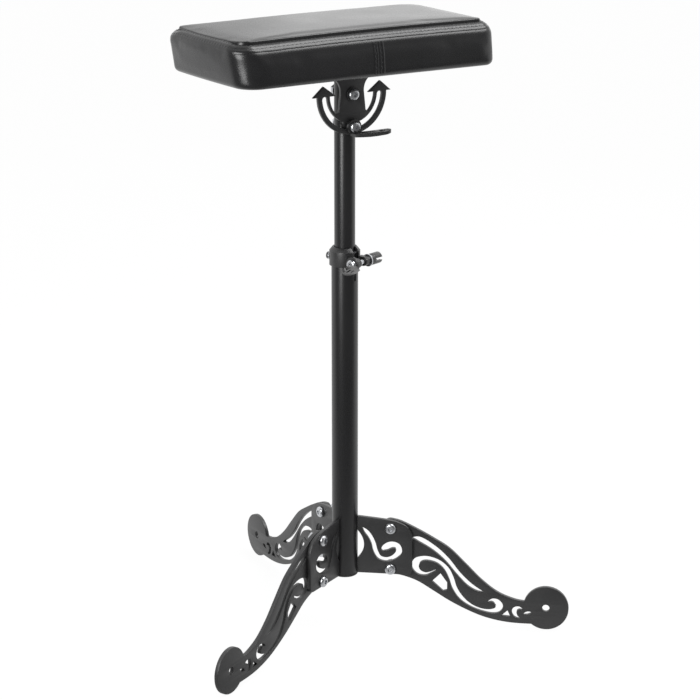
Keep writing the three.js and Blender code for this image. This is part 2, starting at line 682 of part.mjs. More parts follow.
function tiltPlate() {
  const notchTurn = Math.atan2(shankFoot, shankFootHalf + slotHalf);
  const at = (x, z) => new THREE.Vector2(x, z);
  const rightHalf = [
    ...bend(at(flareHalf, tiltPlateTop), at(shankHalf, tiltPlateTop * flareShare), at(shankHalf, flareStart),
      tiltSteps.flare),
    ...bend(at(shankFootHalf - notchReach, shankFoot + notchReach), at(shankFootHalf, shankFoot - notchReach),
      arc(0, 0, armInner, notchTurn, 0, 1)[0], tiltSteps.notch),
    ...arc(0, 0, armInner, notchTurn, 0, tiltSteps.notch),
    at(barbInner, 0),
    at((armInner + armOuter) / 2, arrowHeight),
    at(barbOuter, 0),
    ...arc(0, 0, armOuter, 0, -quarterTurn, tiltSteps.arc),
  ];
  const leftHalf = rightHalf.map(({ x, y }) => at(-x, y)).reverse();
  const slotSweep = [-slotEndTurn, slotEndTurn - halfTurn];
  const slotMiddle = (turn) => arc(0, 0, slotRadius, turn, turn, 1)[0];
  const [slotRight, slotLeft] = slotSweep.map(slotMiddle);
  const slot = [
    ...arc(0, 0, slotRadius + slotHalf, ...slotSweep, 2 * tiltSteps.arc),
    ...arc(slotLeft.x, slotLeft.y, slotHalf, slotSweep[1], slotSweep[1] - halfTurn, tiltSteps.slotEnd),
    ...arc(0, 0, slotRadius - slotHalf, ...slotSweep, 2 * tiltSteps.arc).reverse(),
    ...arc(slotRight.x, slotRight.y, slotHalf, slotSweep[0] + halfTurn, slotSweep[0], tiltSteps.slotEnd),
  ];
  return uprightPlate([...rightHalf, ...leftHalf], [circle(0, 0, screwHole), slot], tiltPlateThickness,
    -tiltPlateBack);
}
piece(head, 'tilt_plate', tiltPlate(), blackSteel);

// The base plate carries the pad by four screws from below
const basePlate = { length: 90, width: 80, thickness: 3, corner: 6, behind: 2 };
const basePlateBottom = tiltPlateTop + fitGap;
const padScrew = { shank: 2.5, headRadius: 4.6, headHeight: 3, socket: 1.5 };
const padScrewLength = 14;
const padScrewInset = { along: 9, across: 10 };
const padScrewReach = {
  along: basePlate.length / 2 - padScrewInset.along,
  across: basePlate.width / 2 - padScrewInset.across,
};
const padScrewSpots = [[-1, -1], [1, -1], [1, 1], [-1, 1]].map(([along, across]) =>
  new THREE.Vector2(along * padScrewReach.along, basePlate.behind + across * padScrewReach.across));
const padShift = -11;
const padSetBack = 12;
const plateCornerSteps = 5;

// A flat sheet between two heights, with the pad screws' holes, drawn from a middle of its own
function screwedSheet(outline, bottom, thickness, middle) {
  const shape = new THREE.Shape(spaced(outline));
  shape.holes = padScrewSpots.map((spot) => new THREE.Path(
    spaced(circle(spot.x - middle.x, spot.y - middle.y, padScrew.shank + fitGap))));
  return new THREE.ExtrudeGeometry(shape, { depth: thickness, bevelEnabled: false }).translate(0, 0, bottom);
}

const cornerSigns = [[1, 1], [-1, 1], [-1, -1], [1, -1]];
const basePlateOutline = cornerSigns.flatMap(([along, across], i) => arc(
  along * (basePlate.length / 2 - basePlate.corner),
  basePlate.behind + across * (basePlate.width / 2 - basePlate.corner),
  basePlate.corner,
  i * quarterTurn,
  (i + 1) * quarterTurn,
  plateCornerSteps,
));
piece(head, 'pad_base_plate',
  screwedSheet(basePlateOutline, basePlateBottom, basePlate.thickness, new THREE.Vector2()), blackSteel);

padScrewSpots.forEach((spot, index) => {
  const geometry = buttonScrew(padScrew, padScrewLength).rotateX(halfTurn);
  const screw = piece(head, `pad_screw_${index + 1}`, geometry, zinc);
  screw.position.set(spot.x, spot.y, basePlateBottom - fitGap);
});

// The pad's own group: its middle lies behind the tilt plate and a little to one side
const pad = new THREE.Group();
pad.position.set(padShift, padSetBack, 0);
head.add(pad);

// Pad outlines: each level is a rounded rectangle whose left end leans in and whose front leans out downwards
const dustThickness = 0.8;
const dustMargin = 10;
const coverThickness = 1.2;
const coverOpening = 22;
const boardThickness = 12;
const boardMargin = 12;
const padCorner = 15;
const padTopRound = 9;
const padBottomRound = 6.5;
const padLeftLean = 8.8;
const padFrontLean = 4;
const padSideDraw = 0.8;
const leastCornerShare = 0.3;
const padSteps = { corner: 4, side: 4, end: 2, round: 3, crown: 5 };
const dustBottom = basePlateBottom + basePlate.thickness + fitGap;
const padBottom = dustBottom + dustThickness + fitGap;
const padSideTop = padBottom + padSideHeight;

// One level of the pad: its outline at a height, drawn in by a depth
function padLevel(depth, height) {
  const lean = Math.max(0, padSideTop - height) / padSideHeight;
  const [right, back] = [padLength / 2 - depth, padWidth / 2 - depth];
  const [left, front] = [padLeftLean * lean - right, -back - padFrontLean * lean];
  const corner = Math.max(padCorner - depth, padCorner * leastCornerShare);
  const corners = cornerSigns.map(([along, across], i) => arc(
    (along > 0 ? right : left) - along * corner,
    (across > 0 ? back : front) - across * corner,
    corner,
    i * quarterTurn,
    (i + 1) * quarterTurn,
    padSteps.corner,
  ));
  return corners.flatMap((turn, i) => {
    const last = turn[turn.length - 1];
    const next = corners[(i + 1) % corners.length][0];
    const count = i % 2 === 0 ? padSteps.side : padSteps.end;
    const between = Array.from({ length: count - 1 }, (_, step) => last.clone().lerp(next, (step + 1) / count));
    return [...turn, ...between];
  }).map((point) => new THREE.Vector3(point.x, point.y, height));
}

// A closed skin over a list of levels, with a middle point at each end
function padSkin(levels, firstHeight, lastHeight) {
  const count = levels[0].length;
  const points = [...levels.flat(), new THREE.Vector3(0, 0, firstHeight), new THREE.Vector3(0, 0, lastHeight)];
  const [first, last] = [points.length - 2, points.length - 1];
  const faces = [];
  for (let i = 0; i < count; i += 1) {
    const next = (i + 1) % count;
    faces.push(first, next, i);
    for (let row = 0; row < levels.length - 1; row += 1) {
      const [here, above] = [row * count, (row + 1) * count];
      faces.push(here + i, here + next, above + next, here + i, above + next, above + i);
    }
    const top = (levels.length - 1) * count;
    faces.push(top + i, top + next, last);
  }
  const geometry = new THREE.BufferGeometry().setFromPoints(points);
  geometry.setIndex(faces);
  return geometry;
}

// The pad's outside from its lowest edge up over the crown, drawn in by a depth all round
function padOutside(depth) {
  const quarter = Array.from({ length: padSteps.round + 1 }, (_, i) => quarterTurn * i / padSteps.round);
  const rim = padLevel(depth + padTopRound, padSideTop - depth);
  const crown = Array.from({ length: padSteps.crown - 1 }, (_, i) => {
    const share = 1 - (i + 1) / padSteps.crown;
    const height = padSideTop - depth + padCrown * (1 - share * share);
    return rim.map((point) => new THREE.Vector3(point.x * share, point.y * share, height));
  });
  return [
    ...quarter.map((turn) => padLevel(depth + padBottomRound * (1 - Math.sin(turn)),
      padBottom + depth + padBottomRound * (1 - Math.cos(turn)))),
    padLevel(depth + padSideDraw, padBottom + padSideHeight / 2),
    ...quarter.map((turn) => padLevel(depth + padTopRound * (1 - Math.cos(turn)),
      padSideTop - depth - padTopRound * (1 - Math.sin(turn)))),
    ...crown,
  ];
}

function crownHeight(depth) {
  return padSideTop + padCrown - depth;
}

// The cover wraps under the board as far as its opening
function padCover() {
  const opening = [coverThickness, 0].map((rise) => padLevel(coverOpening, padBottom + rise));
  return padSkin([...padOutside(coverThickness).reverse(), ...opening, ...padOutside(0)],
    crownHeight(coverThickness), crownHeight(0));
}
piece(pad, 'pad_cover', padCover(), leather);

// The foam fills the cover over and round the board
const foamDepth = coverThickness + fitGap;
const boardBottom = padBottom + foamDepth;
const foamSeat = boardBottom + boardThickness + fitGap;

function padFoam() {
  const recess = padLevel(boardMargin - fitGap, padBottom);
  const recessAt = (height) => recess.map(({ x, y }) => new THREE.Vector3(x, y, height));
  return padSkin([recessAt(foamSeat), recessAt(boardBottom), ...padOutside(foamDepth)], foamSeat,
    crownHeight(foamDepth));
}
piece(pad, 'pad_foam', padFoam(), foam);

function padSheet(margin, bottom, thickness) {
  const outline = padLevel(margin, padBottom).map(({ x, y }) => new THREE.Vector2(x, y));
  return screwedSheet(outline, bottom, thickness, pad.position);
}
piece(pad, 'pad_board', padSheet(boardMargin, boardBottom, boardThickness), plywood);
piece(pad, 'pad_dust_cloth', padSheet(dustMargin, dustBottom, dustThickness), blackCloth);

export default armrest;
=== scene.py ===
# Looks of the tattoo armrest: its plates, tubes, fasteners and padded rest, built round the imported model.
# Lengths are written in millimetres and become metres where a mesh is made.
import math

import bmesh
import bpy
from mathutils import Matrix, Vector, noise
from mathutils.bvhtree import BVHTree
from mathutils.kdtree import KDTree


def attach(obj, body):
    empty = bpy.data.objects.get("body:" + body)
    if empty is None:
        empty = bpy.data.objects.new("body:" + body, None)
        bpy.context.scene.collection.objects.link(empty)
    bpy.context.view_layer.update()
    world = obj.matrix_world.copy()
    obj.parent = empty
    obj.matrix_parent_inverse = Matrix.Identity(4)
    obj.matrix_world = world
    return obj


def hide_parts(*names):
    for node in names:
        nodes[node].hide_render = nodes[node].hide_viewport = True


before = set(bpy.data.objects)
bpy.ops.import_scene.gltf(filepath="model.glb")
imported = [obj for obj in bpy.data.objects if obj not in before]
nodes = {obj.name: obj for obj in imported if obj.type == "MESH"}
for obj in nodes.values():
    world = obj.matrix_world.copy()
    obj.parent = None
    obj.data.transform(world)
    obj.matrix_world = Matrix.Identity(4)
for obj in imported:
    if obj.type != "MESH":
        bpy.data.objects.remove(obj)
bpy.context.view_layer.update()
scene = bpy.context.scene

MM = 0.001
QUARTER = math.pi / 2
HALF = math.pi
FULL = 2 * math.pi

# Driving dimensions, the same as the model's
COLUMN_RADIUS = 16
COLUMN_WALL = 1.8
COLUMN_BORE = COLUMN_RADIUS - COLUMN_WALL
COLUMN_BOTTOM = 66.8
COLUMN_TOP = 475.4
SLIT_WIDTH = 3.4
SLIT_LENGTH = 34
CLAMP_TURN = 50
CLAMP_HEIGHT = 466.5
MAST_RADIUS = 12.5
MAST_WALL = 1.5
MAST_BORE = MAST_RADIUS - MAST_WALL
MAST_LENGTH = 430
PIVOT_HEIGHT = 668
MAST_TOP = PIVOT_HEIGHT + 14
MAST_BOTTOM = MAST_TOP - MAST_LENGTH
LOCK_DISTANCE = 38
LOCK_HEIGHT = PIVOT_HEIGHT - LOCK_DISTANCE
PAD_AZIMUTH = 33
PAD_LENGTH = 346
PAD_WIDTH = 165
PAD_SIDE_HEIGHT = 51
LEG_REACH = 250
LEG_AZIMUTHS = (-7.5, 118.8, 238.8)
LEG_SIDES = (1, -1, -1)
FOOT_RADIUS = 28
PLATE = 5
GAP = 0.3
M8 = {"shank": 4, "head": 7, "height": 4.4, "socket": 2.9}
M6 = {"shank": 3, "head": 6.6, "height": 3.8, "socket": 2.3}
M5 = {"shank": 2.5, "head": 4.6, "height": 3, "socket": 1.5}
LEG_SCREW_LENGTH = 18.4
PIVOT_SCREW_LENGTH = 40.4
LOCK_SCREW_LENGTH = 42.6
CLAMP_SCREW_LENGTH = 36.9
PAD_SCREW_LENGTH = 14


# Materials
WARP_SCALE = 60.0


class Shade:
    """A node material with a principled shader and short ways to add nodes to it."""

    def __init__(self, name):
        self.material = bpy.data.materials.new(name)
        self.material.use_nodes = True
        self.tree = self.material.node_tree
        self.shader = self.tree.nodes["Principled BSDF"]
        self.place = self.add("ShaderNodeTexCoord").outputs["Object"]

    def add(self, kind, **values):
        node = self.tree.nodes.new(kind)
        for key, value in values.items():
            if hasattr(node, key):
                setattr(node, key, value)
            else:
                node.inputs[key.replace("_", " ")].default_value = value
        return node

    def link(self, output, target):
        self.tree.links.new(output, target)

    def set(self, **values):
        for key, value in values.items():
            self.shader.inputs[key.replace("_", " ")].default_value = value

    def noise(self, scale, detail=4.0, roughness=0.55, distortion=0.0, stretch=None):
        node = self.add("ShaderNodeTexNoise", Scale=scale, Detail=detail, Roughness=roughness,
                        Distortion=distortion)
        self.link(self.stretched(stretch), node.inputs["Vector"])
        return node.outputs["Fac"]

    def stretched(self, stretch):
        if stretch is None:
            return self.place
        mapping = self.add("ShaderNodeMapping", Scale=stretch)
        self.link(self.place, mapping.inputs["Vector"])
        return mapping.outputs["Vector"]

    def cells(self, scale, feature="DISTANCE_TO_EDGE", warp=0.0):
        node = self.add("ShaderNodeTexVoronoi", feature=feature, Scale=scale)
        place = self.place
        if warp:
            drift = self.add("ShaderNodeTexNoise", Scale=WARP_SCALE, Detail=2.0)
            self.link(self.place, drift.inputs["Vector"])
            mixed = self.add("ShaderNodeMix", data_type="VECTOR", Factor=warp)
            self.link(self.place, mixed.inputs[4])
            self.link(drift.outputs["Color"], mixed.inputs[5])
            place = mixed.outputs[1]
        self.link(place, node.inputs["Vector"])
        return node.outputs["Distance"]

    def spread(self, value, low, high, least=0.0, most=1.0):
        node = self.add("ShaderNodeMapRange")
        set_range(node, low, high, least, most)
        self.link(value, node.inputs["Value"])
        return node.outputs["Result"]

    def sum(self, first, second, share):
        node = self.add("ShaderNodeMath", operation="MULTIPLY_ADD")
        self.link(second, node.inputs[0])
        node.inputs[1].default_value = share
        self.link(first, node.inputs[2])
        return node.outputs["Value"]

    def base(self, value, dark, light, edge=0.3):
        """Colours the surface between two tones."""
        node = self.add("ShaderNodeValToRGB")
        for element, place, tone in zip(node.color_ramp.elements, (edge, 1 - edge), (dark, light)):
            element.position = place
            element.color = colour(tone)
        self.link(value, node.inputs["Fac"])
        self.link(node.outputs["Color"], self.shader.inputs["Base Color"])

    def rough(self, value, low, high, least, most):
        self.link(self.spread(value, low, high, least, most), self.shader.inputs["Roughness"])

    def bump(self, height, strength, distance):
        node = self.add("ShaderNodeBump", Strength=strength, Distance=distance * MM)
        self.link(height, node.inputs["Height"])
        self.link(node.outputs["Normal"], self.shader.inputs["Normal"])


def set_range(node, low, high, least, most):
    for key, number in (("From Min", low), ("From Max", high), ("To Min", least), ("To Max", most)):
        node.inputs[key].default_value = number


def colour(shade):
    if isinstance(shade, (int, float)):
        shade = (shade, shade, shade)
    return (*shade, 1.0)


def finish(name, cloud, tones, grain, blend, span, roughness, bump, stretch=None, **values):
    """A cloudy coat whose fine grain carries its roughness and its bump."""
    shade = Shade(name)
    shade.set(**values)
    patches = shade.noise(*cloud, stretch=stretch)
    shade.base(patches, *tones)
    fine = shade.noise(*grain)
    mixed = shade.sum(fine, patches, blend) if blend else fine
    shade.rough(mixed, *span, *roughness)
    shade.bump(fine, *bump)
    return shade.material


def leather():
    shade = Shade("black_leather")
    shade.set(Specular_IOR_Level=0.5)
    cloud = shade.noise(14, 4)
    shade.base(cloud, (0.005, 0.005, 0.0055), (0.0085, 0.0085, 0.009))
    pebbles = shade.spread(shade.cells(560, warp=0.012), 0.0, 0.3)
    fine = shade.noise(2600, 3, 0.6)
    folds = shade.noise(70, 4, 0.55, 0.6)
    grain = shade.sum(shade.sum(pebbles, fine, 0.3), folds, 1.2)
    shade.rough(shade.sum(cloud, pebbles, 0.35), 0.4, 1.1, 0.3, 0.23)
    shade.bump(grain, 0.16, 0.1)
    return shade.material


def thread():
    shade = Shade("black_thread")
    shade.set(Specular_IOR_Level=0.3, Sheen_Weight=0.1, Sheen_Roughness=0.4)
    twist = shade.add("ShaderNodeTexWave", Scale=900.0, Distortion=1.5)
    shade.link(shade.place, twist.inputs["Vector"])
    strand = twist.outputs["Fac"]
    shade.base(strand, (0.008, 0.008, 0.009), (0.02, 0.02, 0.022), 0.2)
    shade.rough(strand, 0.0, 1.0, 0.32, 0.5)
    shade.bump(strand, 0.3, 0.1)
    return shade.material


def dust_cloth():
    shade = Shade("black_dust_cloth")
    shade.set(Specular_IOR_Level=0.2, Sheen_Weight=0.1, Sheen_Roughness=0.6)
    fibres = shade.noise(900, 6, 0.7, 1.2)
    dots = shade.cells(420, "F1")
    shade.base(fibres, 0.008, 0.02)
    shade.rough(fibres, 0.3, 0.7, 0.85, 0.97)
    shade.bump(shade.sum(dots, fibres, 0.6), 0.4, 0.15)
    return shade.material


def plywood():
    shade = Shade("raw_plywood")
    shade.set(Specular_IOR_Level=0.3)
    grain = shade.noise(60, 6, 0.65, 0.8, stretch=(0.25, 3.0, 6.0))
    shade.base(grain, (0.36, 0.22, 0.11), (0.58, 0.41, 0.23), 0.25)
    shade.rough(grain, 0.3, 0.7, 0.8, 0.6)
    shade.bump(grain, 0.3, 0.2)
    return shade.material


# Each skin is a slot's name and its material
coat = ("black_powder_coat", finish(
    "black_powder_coat", (35, 3), ((0.0065, 0.0065, 0.007), (0.0095, 0.0095, 0.01)), (900, 3, 0.6), 0.8,
    (0.5, 1.3), (0.36, 0.48), (0.16, 0.08), Specular_IOR_Level=0.8))
tube_coat = ("black_powder_coat", finish(
    "satin_black_tube", (30, 2), ((0.006, 0.006, 0.0065), (0.009, 0.009, 0.0095)), (700, 2, 0.5), 0.6,
    (0.4, 1.2), (0.26, 0.33), (0.1, 0.05), stretch=(1.0, 1.0, 0.15), Specular_IOR_Level=0.5))
zinc = ("zinc", finish(
    "bright_zinc", (160, 4), ((0.5, 0.51, 0.53), (0.66, 0.67, 0.69)), (1800, 3, 0.6), 0.7,
    (0.5, 1.2), (0.2, 0.34), (0.08, 0.05), Metallic=1.0))
plastic = ("black_plastic", finish(
    "black_plastic", (120, 3), (0.012, 0.02), (2200, 2, 0.6), 0,
    (0.3, 0.7), (0.45, 0.6), (0.15, 0.06), Specular_IOR_Level=0.4))
nylon = ("grey_nylon", finish(
    "grey_nylon", (120, 3), ((0.05, 0.05, 0.053), (0.09, 0.09, 0.095)), (2200, 2, 0.6), 0,
    (0.3, 0.7), (0.5, 0.65), (0.15, 0.06), Specular_IOR_Level=0.4))
leather_skin = ("black_leather", leather())
thread_skin = ("black_leather", thread())
cloth_skin = ("black_cloth", dust_cloth())
wood_skin = ("plywood", plywood())


# Pieces
POINT_GAP = 0.002
WELD_GAP = 0.004


def place_piece(obj, body, skin, *replaced):
    """Puts a finished object on its body, with its material, in place of the nodes it stands for."""
    obj.data.materials.clear()
    obj.data.materials.append(skin[1])
    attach(obj, body)
    if replaced:
        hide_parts(*replaced)


def smooth_shade(mesh, angle=32):
    mesh.shade_smooth()
    mesh.set_sharp_from_angle(angle=math.radians(angle))


def linked(name, data):
    obj = bpy.data.objects.new(name, data)
    scene.collection.objects.link(obj)
    return obj


def welded(mesh, gap, outward=True):
    """Joins points that lie closer than the gap, and turns the faces outwards."""
    work = bmesh.new()
    work.from_mesh(mesh)
    bmesh.ops.remove_doubles(work, verts=work.verts, dist=gap * MM)
    if outward:
        bmesh.ops.recalc_face_normals(work, faces=work.faces)
    work.to_mesh(mesh)
    work.free()


def mesh_object(name, points, faces, matrix=Matrix.Identity(4), angle=32):
    """A new object from millimetre points, in metres."""
    mesh = bpy.data.meshes.new(name)
    mesh.from_pydata([matrix @ Vector(point) * MM for point in points], [], faces)
    welded(mesh, POINT_GAP)
    smooth_shade(mesh, angle)
    return linked(name, mesh)


def final_mesh(obj):
    return bpy.data.meshes.new_from_object(obj.evaluated_get(bpy.context.evaluated_depsgraph_get()))


def baked(obj, angle=32):
    """Applies an object's modifiers."""
    mesh = final_mesh(obj)
    obj.modifiers.clear()
    old = obj.data
    obj.data = mesh
    bpy.data.meshes.remove(old)
    smooth_shade(mesh, angle)
    return obj


def carved(obj, tool, angle):
    """Cuts a tool's shape out of an object, and removes the tool."""
    step = obj.modifiers.new("carve", "BOOLEAN")
    step.operation = "DIFFERENCE"
    step.solver = "EXACT"
    step.object = tool
    baked(obj, angle)
    bpy.data.objects.remove(tool)
    return obj


def rounded(obj, width, segments=3, limit=35):
    """Rounds an object's sharp edges."""
    work = bmesh.new()
    work.from_mesh(obj.data)
    bmesh.ops.dissolve_limit(work, angle_limit=math.radians(0.5), verts=work.verts, edges=work.edges)
    work.to_mesh(obj.data)
    work.free()
    step = obj.modifiers.new("edge", "BEVEL")
    step.width = width * MM
    step.segments = segments
    step.limit_method = "ANGLE"
    step.angle_limit = math.radians(limit)
    return baked(obj)


def turn_about_z(degrees):
    return Matrix.Rotation(math.radians(degrees), 4, "Z")


def shift(x, y, z):
    return Matrix.Translation((x, y, z))


def in_metres(matrix):
    out = matrix.copy()
    out.translation = out.translation * MM
    return out


FACING_FRONT = Matrix.Rotation(QUARTER, 4, "X")


def skinned(levels, *ends):
    """Points and faces of a skin over rings of points, with a point at either end, or closed as a tube."""
    count = len(levels[0])
    points = [p for level in levels for p in level] + list(ends)
    rows = range(len(levels) - 1 if ends else len(levels))
    top = (len(levels) - 1) * count
    faces = []
    for i in range(count):
        j = (i + 1) % count
        if ends:
            faces.append((len(points) - 2, j, i))
        for row in rows:
            low, high = row * count, (row + 1) % len(levels) * count
            faces.append((low + i, low + j, high + j, high + i))
        if ends:
            faces.append((top + i, top + j, len(points) - 1))
    return points, faces


def lathe(profile, sides):
    """Points and faces of a [radius, height] profile turned about Z, from axis to axis or as a tube."""
    turns = [FULL * i / sides for i in range(sides)]
    rings = [[Vector((radius * math.cos(turn), radius * math.sin(turn), height)) for turn in turns]
             for radius, height in profile]
    if profile[0][0] == 0:
        return skinned(rings[1:-1], rings[0][0], rings[-1][0])
    return skinned(rings)


ROUND_STEPS = 3
CUT_SHARE = 2.2


def softened(profile, size):
    """A profile with its corners rounded, apart from those on the axis."""
    out = []
    count = len(profile)
    for i, here in enumerate(profile):
        here = Vector(here)
        before = Vector(profile[i - 1])
        after = Vector(profile[(i + 1) % count])
        back, ahead = before - here, after - here
        if here.x == 0 or back.length == 0 or ahead.length == 0:
            out.append(tuple(here))
            continue
        reach = min(size, back.length / CUT_SHARE, ahead.length / CUT_SHARE)
        first = here + back.normalized() * reach
        last = here + ahead.normalized() * reach
        out += [tuple(p) for p in bend(first, here, last, ROUND_STEPS)]
    return out


def lathe_object(name, profile, sides=96, soft=0.0, angle=32):
    if soft:
        profile = softened(profile, soft)
    return mesh_object(name, *lathe(profile, sides), angle=angle)


TUBE_SIDES = 128
TUBE_EDGE = 0.4


def tube(name, inner, outer, bottom, top):
    profile = [(inner, bottom), (outer, bottom), (outer, top), (inner, top)]
    return lathe_object(name, profile, TUBE_SIDES, TUBE_EDGE)


# Outlines of the flat plates

def arc(x, y, radius, start, end, steps):
    turns = [start + (end - start) * i / steps for i in range(steps + 1)]
    return [Vector((x + radius * math.cos(turn), y + radius * math.sin(turn))) for turn in turns]


def circle(x, y, radius, steps=40):
    return arc(x, y, radius, 0, FULL, steps)[1:]


def bend(start, corner, end, steps):
    shares = [i / steps for i in range(steps + 1)]
    return [start * (1 - s) ** 2 + corner * 2 * s * (1 - s) + end * s ** 2 for s in shares]


def hermite(first, second, leaving, arriving, share):
    square, cube = share ** 2, share ** 3
    return (first * (2 * cube - 3 * square + 1) + leaving * (cube - 2 * square + share)
            + second * (3 * square - 2 * cube) + arriving * (cube - square))


def smooth(points, steps):
    """A smooth line through the given points."""
    last = len(points) - 1
    out = []
    for i in range(steps + 1):
        spot = last * i / steps
        at = min(int(spot), last - 1)
        near = [points[min(max(at + step, 0), last)] for step in (-1, 0, 1, 2)]
        out.append(hermite(near[1], near[2], (near[2] - near[0]) / 2, (near[3] - near[1]) / 2, spot - at))
    return out


LEAST_GAP = 1e-4


def stroke(points, steps):
    """The closed edge of a swelling stroke, whose points hold x, y and the half width."""
    last = len(points) - 1

    def at(share):
        spot = last * share
        low = min(max(int(math.floor(spot)), 0), last - 1)
        first, second = points[low], points[low + 1]
        before = points[low - 1] if low > 0 else first * 2 - second
        after = points[low + 2] if low + 2 <= last else second * 2 - first
        gaps = [max((b - a).length, LEAST_GAP) ** 0.5
                for a, b in ((before, first), (first, second), (second, after))]
        leaving = ((first - before) / gaps[0] - (second - before) / (gaps[0] + gaps[1])
                   + (second - first) / gaps[1]) * gaps[1]
        arriving = ((second - first) / gaps[1] - (after - first) / (gaps[1] + gaps[2])
                    + (after - second) / gaps[2]) * gaps[1]
        return hermite(first, second, leaving, arriving, spot - low)

    left, right = [], []
    for i in range(steps + 1):
        share = i / steps
        here = at(share)
        way = at(min(share + LEAST_GAP, 1)) - at(max(share - LEAST_GAP, 0))
        across = Vector((-way.y, way.x)).normalized() * here.z
        left.append(here.xy + across)
        right.append(here.xy - across)
    return left + right[::-1]


LEAST_SIDE = 0.03


def plate_object(name, outline, holes, thickness, matrix, edge=0.35):
    """A flat plate with rounded edges, centred on its plane: X-Z before the matrix turns it."""
    curve = bpy.data.curves.new(name, "CURVE")
    curve.dimensions = "2D"
    curve.fill_mode = "BOTH"
    curve.extrude = (thickness / 2 - edge) * MM
    curve.bevel_depth = edge * MM
    curve.bevel_resolution = 2
    curve.offset = -edge * MM
    for ring in [outline, *holes]:
        kept = [p for i, p in enumerate(ring) if (p - ring[(i + 1) % len(ring)]).length > LEAST_SIDE]
        line = curve.splines.new("POLY")
        line.points.add(len(kept) - 1)
        for spot, point in zip(line.points, kept):
            spot.co = (point.x * MM, point.y * MM, 0, 1)
        line.use_cyclic_u = True
    shape = linked(name + "_shape", curve)
    mesh = final_mesh(shape)
    bpy.data.objects.remove(shape)
    mesh.transform(in_metres(matrix @ FACING_FRONT))
    welded(mesh, WELD_GAP)
    smooth_shade(mesh, 35)
    return linked(name, mesh)


# Fasteners: shares of a screw's radii and of its head's height
TIP_SHARE = 0.78
TIP_CHAMFER_SHARE = 0.25
UNDERHEAD_SHARE = 0.97
UNDERHEAD_HEIGHT = 0.25
CROWN_SHARE = 0.5
HEAD_SIDE_SHARE = 0.25
HEAD_STEPS = 8
SOCKET_DEPTH_SHARE = 0.6
SOCKET_FLARE = 1.04


def screw_mesh(size, length, name):
    """A button-head screw along Z with a hexagon socket, its head standing on z = 0."""
    shank, head, height, key = (size[part] for part in ("shank", "head", "height", "socket"))
    crown = head * CROWN_SHARE
    profile = [(0, -length), (shank * TIP_SHARE, -length), (shank, -length + shank * TIP_CHAMFER_SHARE),
               (shank, 0), (head * UNDERHEAD_SHARE, 0), (head, UNDERHEAD_HEIGHT)]
    for i in range(HEAD_STEPS + 1):
        turn = QUARTER * i / HEAD_STEPS
        profile.append((crown + (head - crown) * math.cos(turn),
                        height * HEAD_SIDE_SHARE + height * (1 - HEAD_SIDE_SHARE) * math.sin(turn)))
    profile.append((0, height))
    body = lathe_object(name, profile, sides=48, angle=40)
    deep, mouth = height - height * SOCKET_DEPTH_SHARE, height + 1
    socket = lathe_object("socket", [(0, deep), (key, deep), (key * SOCKET_FLARE, mouth), (0, mouth)],
                          sides=6)
    return carved(body, socket, angle=40)


screw_shapes = {}


def screw_object(name, size, length, matrix, body, replaced):
    """A zinc screw, seated under its head, in place of the node it stands for."""
    key = (size["head"], length)
    if key not in screw_shapes:
        made = screw_mesh(size, length, f"screw_shape_{len(screw_shapes)}")
        screw_shapes[key] = made.data.copy()
        bpy.data.objects.remove(made)
    mesh = screw_shapes[key].copy()
    mesh.transform(in_metres(matrix))
    mesh.name = name
    place_piece(linked(name, mesh), body, zinc, replaced)


def dressed_copy(node, name, body, skin, width, limit=35):
    """A copy of a node with rounded edges, which stands for the node."""
    obj = linked(name, nodes[node].data.copy())
    welded(obj.data, WELD_GAP, outward=False)
    rounded(obj, width, limit=limit)
    place_piece(obj, body, skin, node)


# Column, mast and their plugs
PLUG_EDGE = 0.5
BUSH_EDGE = 0.3
CAP_THICKNESS = 3.3
CAP_CHAMFER = 1
CAP_DEPTH = 14
PLUG_DEPTH = 8
PLUG_FLANGE = 1.5
BUSH_LENGTH = 45
BUSH_FLANGE = 1.4
TOOL_MARGIN = 5
TOOL_DEPTH = 30

column = tube("outer_column", COLUMN_BORE, COLUMN_RADIUS, COLUMN_BOTTOM, COLUMN_TOP)
half_slit = SLIT_WIDTH / 2
slit_outline = arc(0, COLUMN_TOP - SLIT_LENGTH + half_slit, half_slit, -HALF, 0, 12)
slit_outline += [Vector((x, COLUMN_TOP + TOOL_MARGIN)) for x in (half_slit, -half_slit)]
slit_tool = plate_object("slit_tool", slit_outline, [], TOOL_DEPTH,
                         turn_about_z(CLAMP_TURN) @ shift(0, -TOOL_DEPTH / 2, 0), edge=0.05)
carved(column, slit_tool, angle=30)
place_piece(column, "base", tube_coat, "column_tube")

mast = tube("inner_mast", MAST_BORE, MAST_RADIUS, MAST_BOTTOM, MAST_TOP)
place_piece(mast, "mast", tube_coat, "mast_tube")

cap_bottom = COLUMN_BOTTOM - CAP_THICKNESS
cap_reach = COLUMN_BORE - GAP
foot_cap = lathe_object("foot_plug", [
    (0, cap_bottom), (COLUMN_RADIUS - CAP_CHAMFER, cap_bottom), (COLUMN_RADIUS, cap_bottom + CAP_CHAMFER),
    (COLUMN_RADIUS, COLUMN_BOTTOM - GAP), (cap_reach, COLUMN_BOTTOM - GAP),
    (cap_reach, COLUMN_BOTTOM + CAP_DEPTH), (0, COLUMN_BOTTOM + CAP_DEPTH)], soft=PLUG_EDGE)
place_piece(foot_cap, "base", plastic, "column_foot_cap")

plug_seat = MAST_TOP + GAP
top_plug = lathe_object("mast_plug", [
    (0, MAST_TOP - PLUG_DEPTH), (MAST_BORE - GAP, MAST_TOP - PLUG_DEPTH), (MAST_BORE - GAP, plug_seat),
    (MAST_RADIUS - GAP, plug_seat), (MAST_RADIUS - GAP, plug_seat + PLUG_FLANGE),
    (0, plug_seat + PLUG_FLANGE)], soft=PLUG_EDGE)
place_piece(top_plug, "mast", plastic, "mast_top_plug")

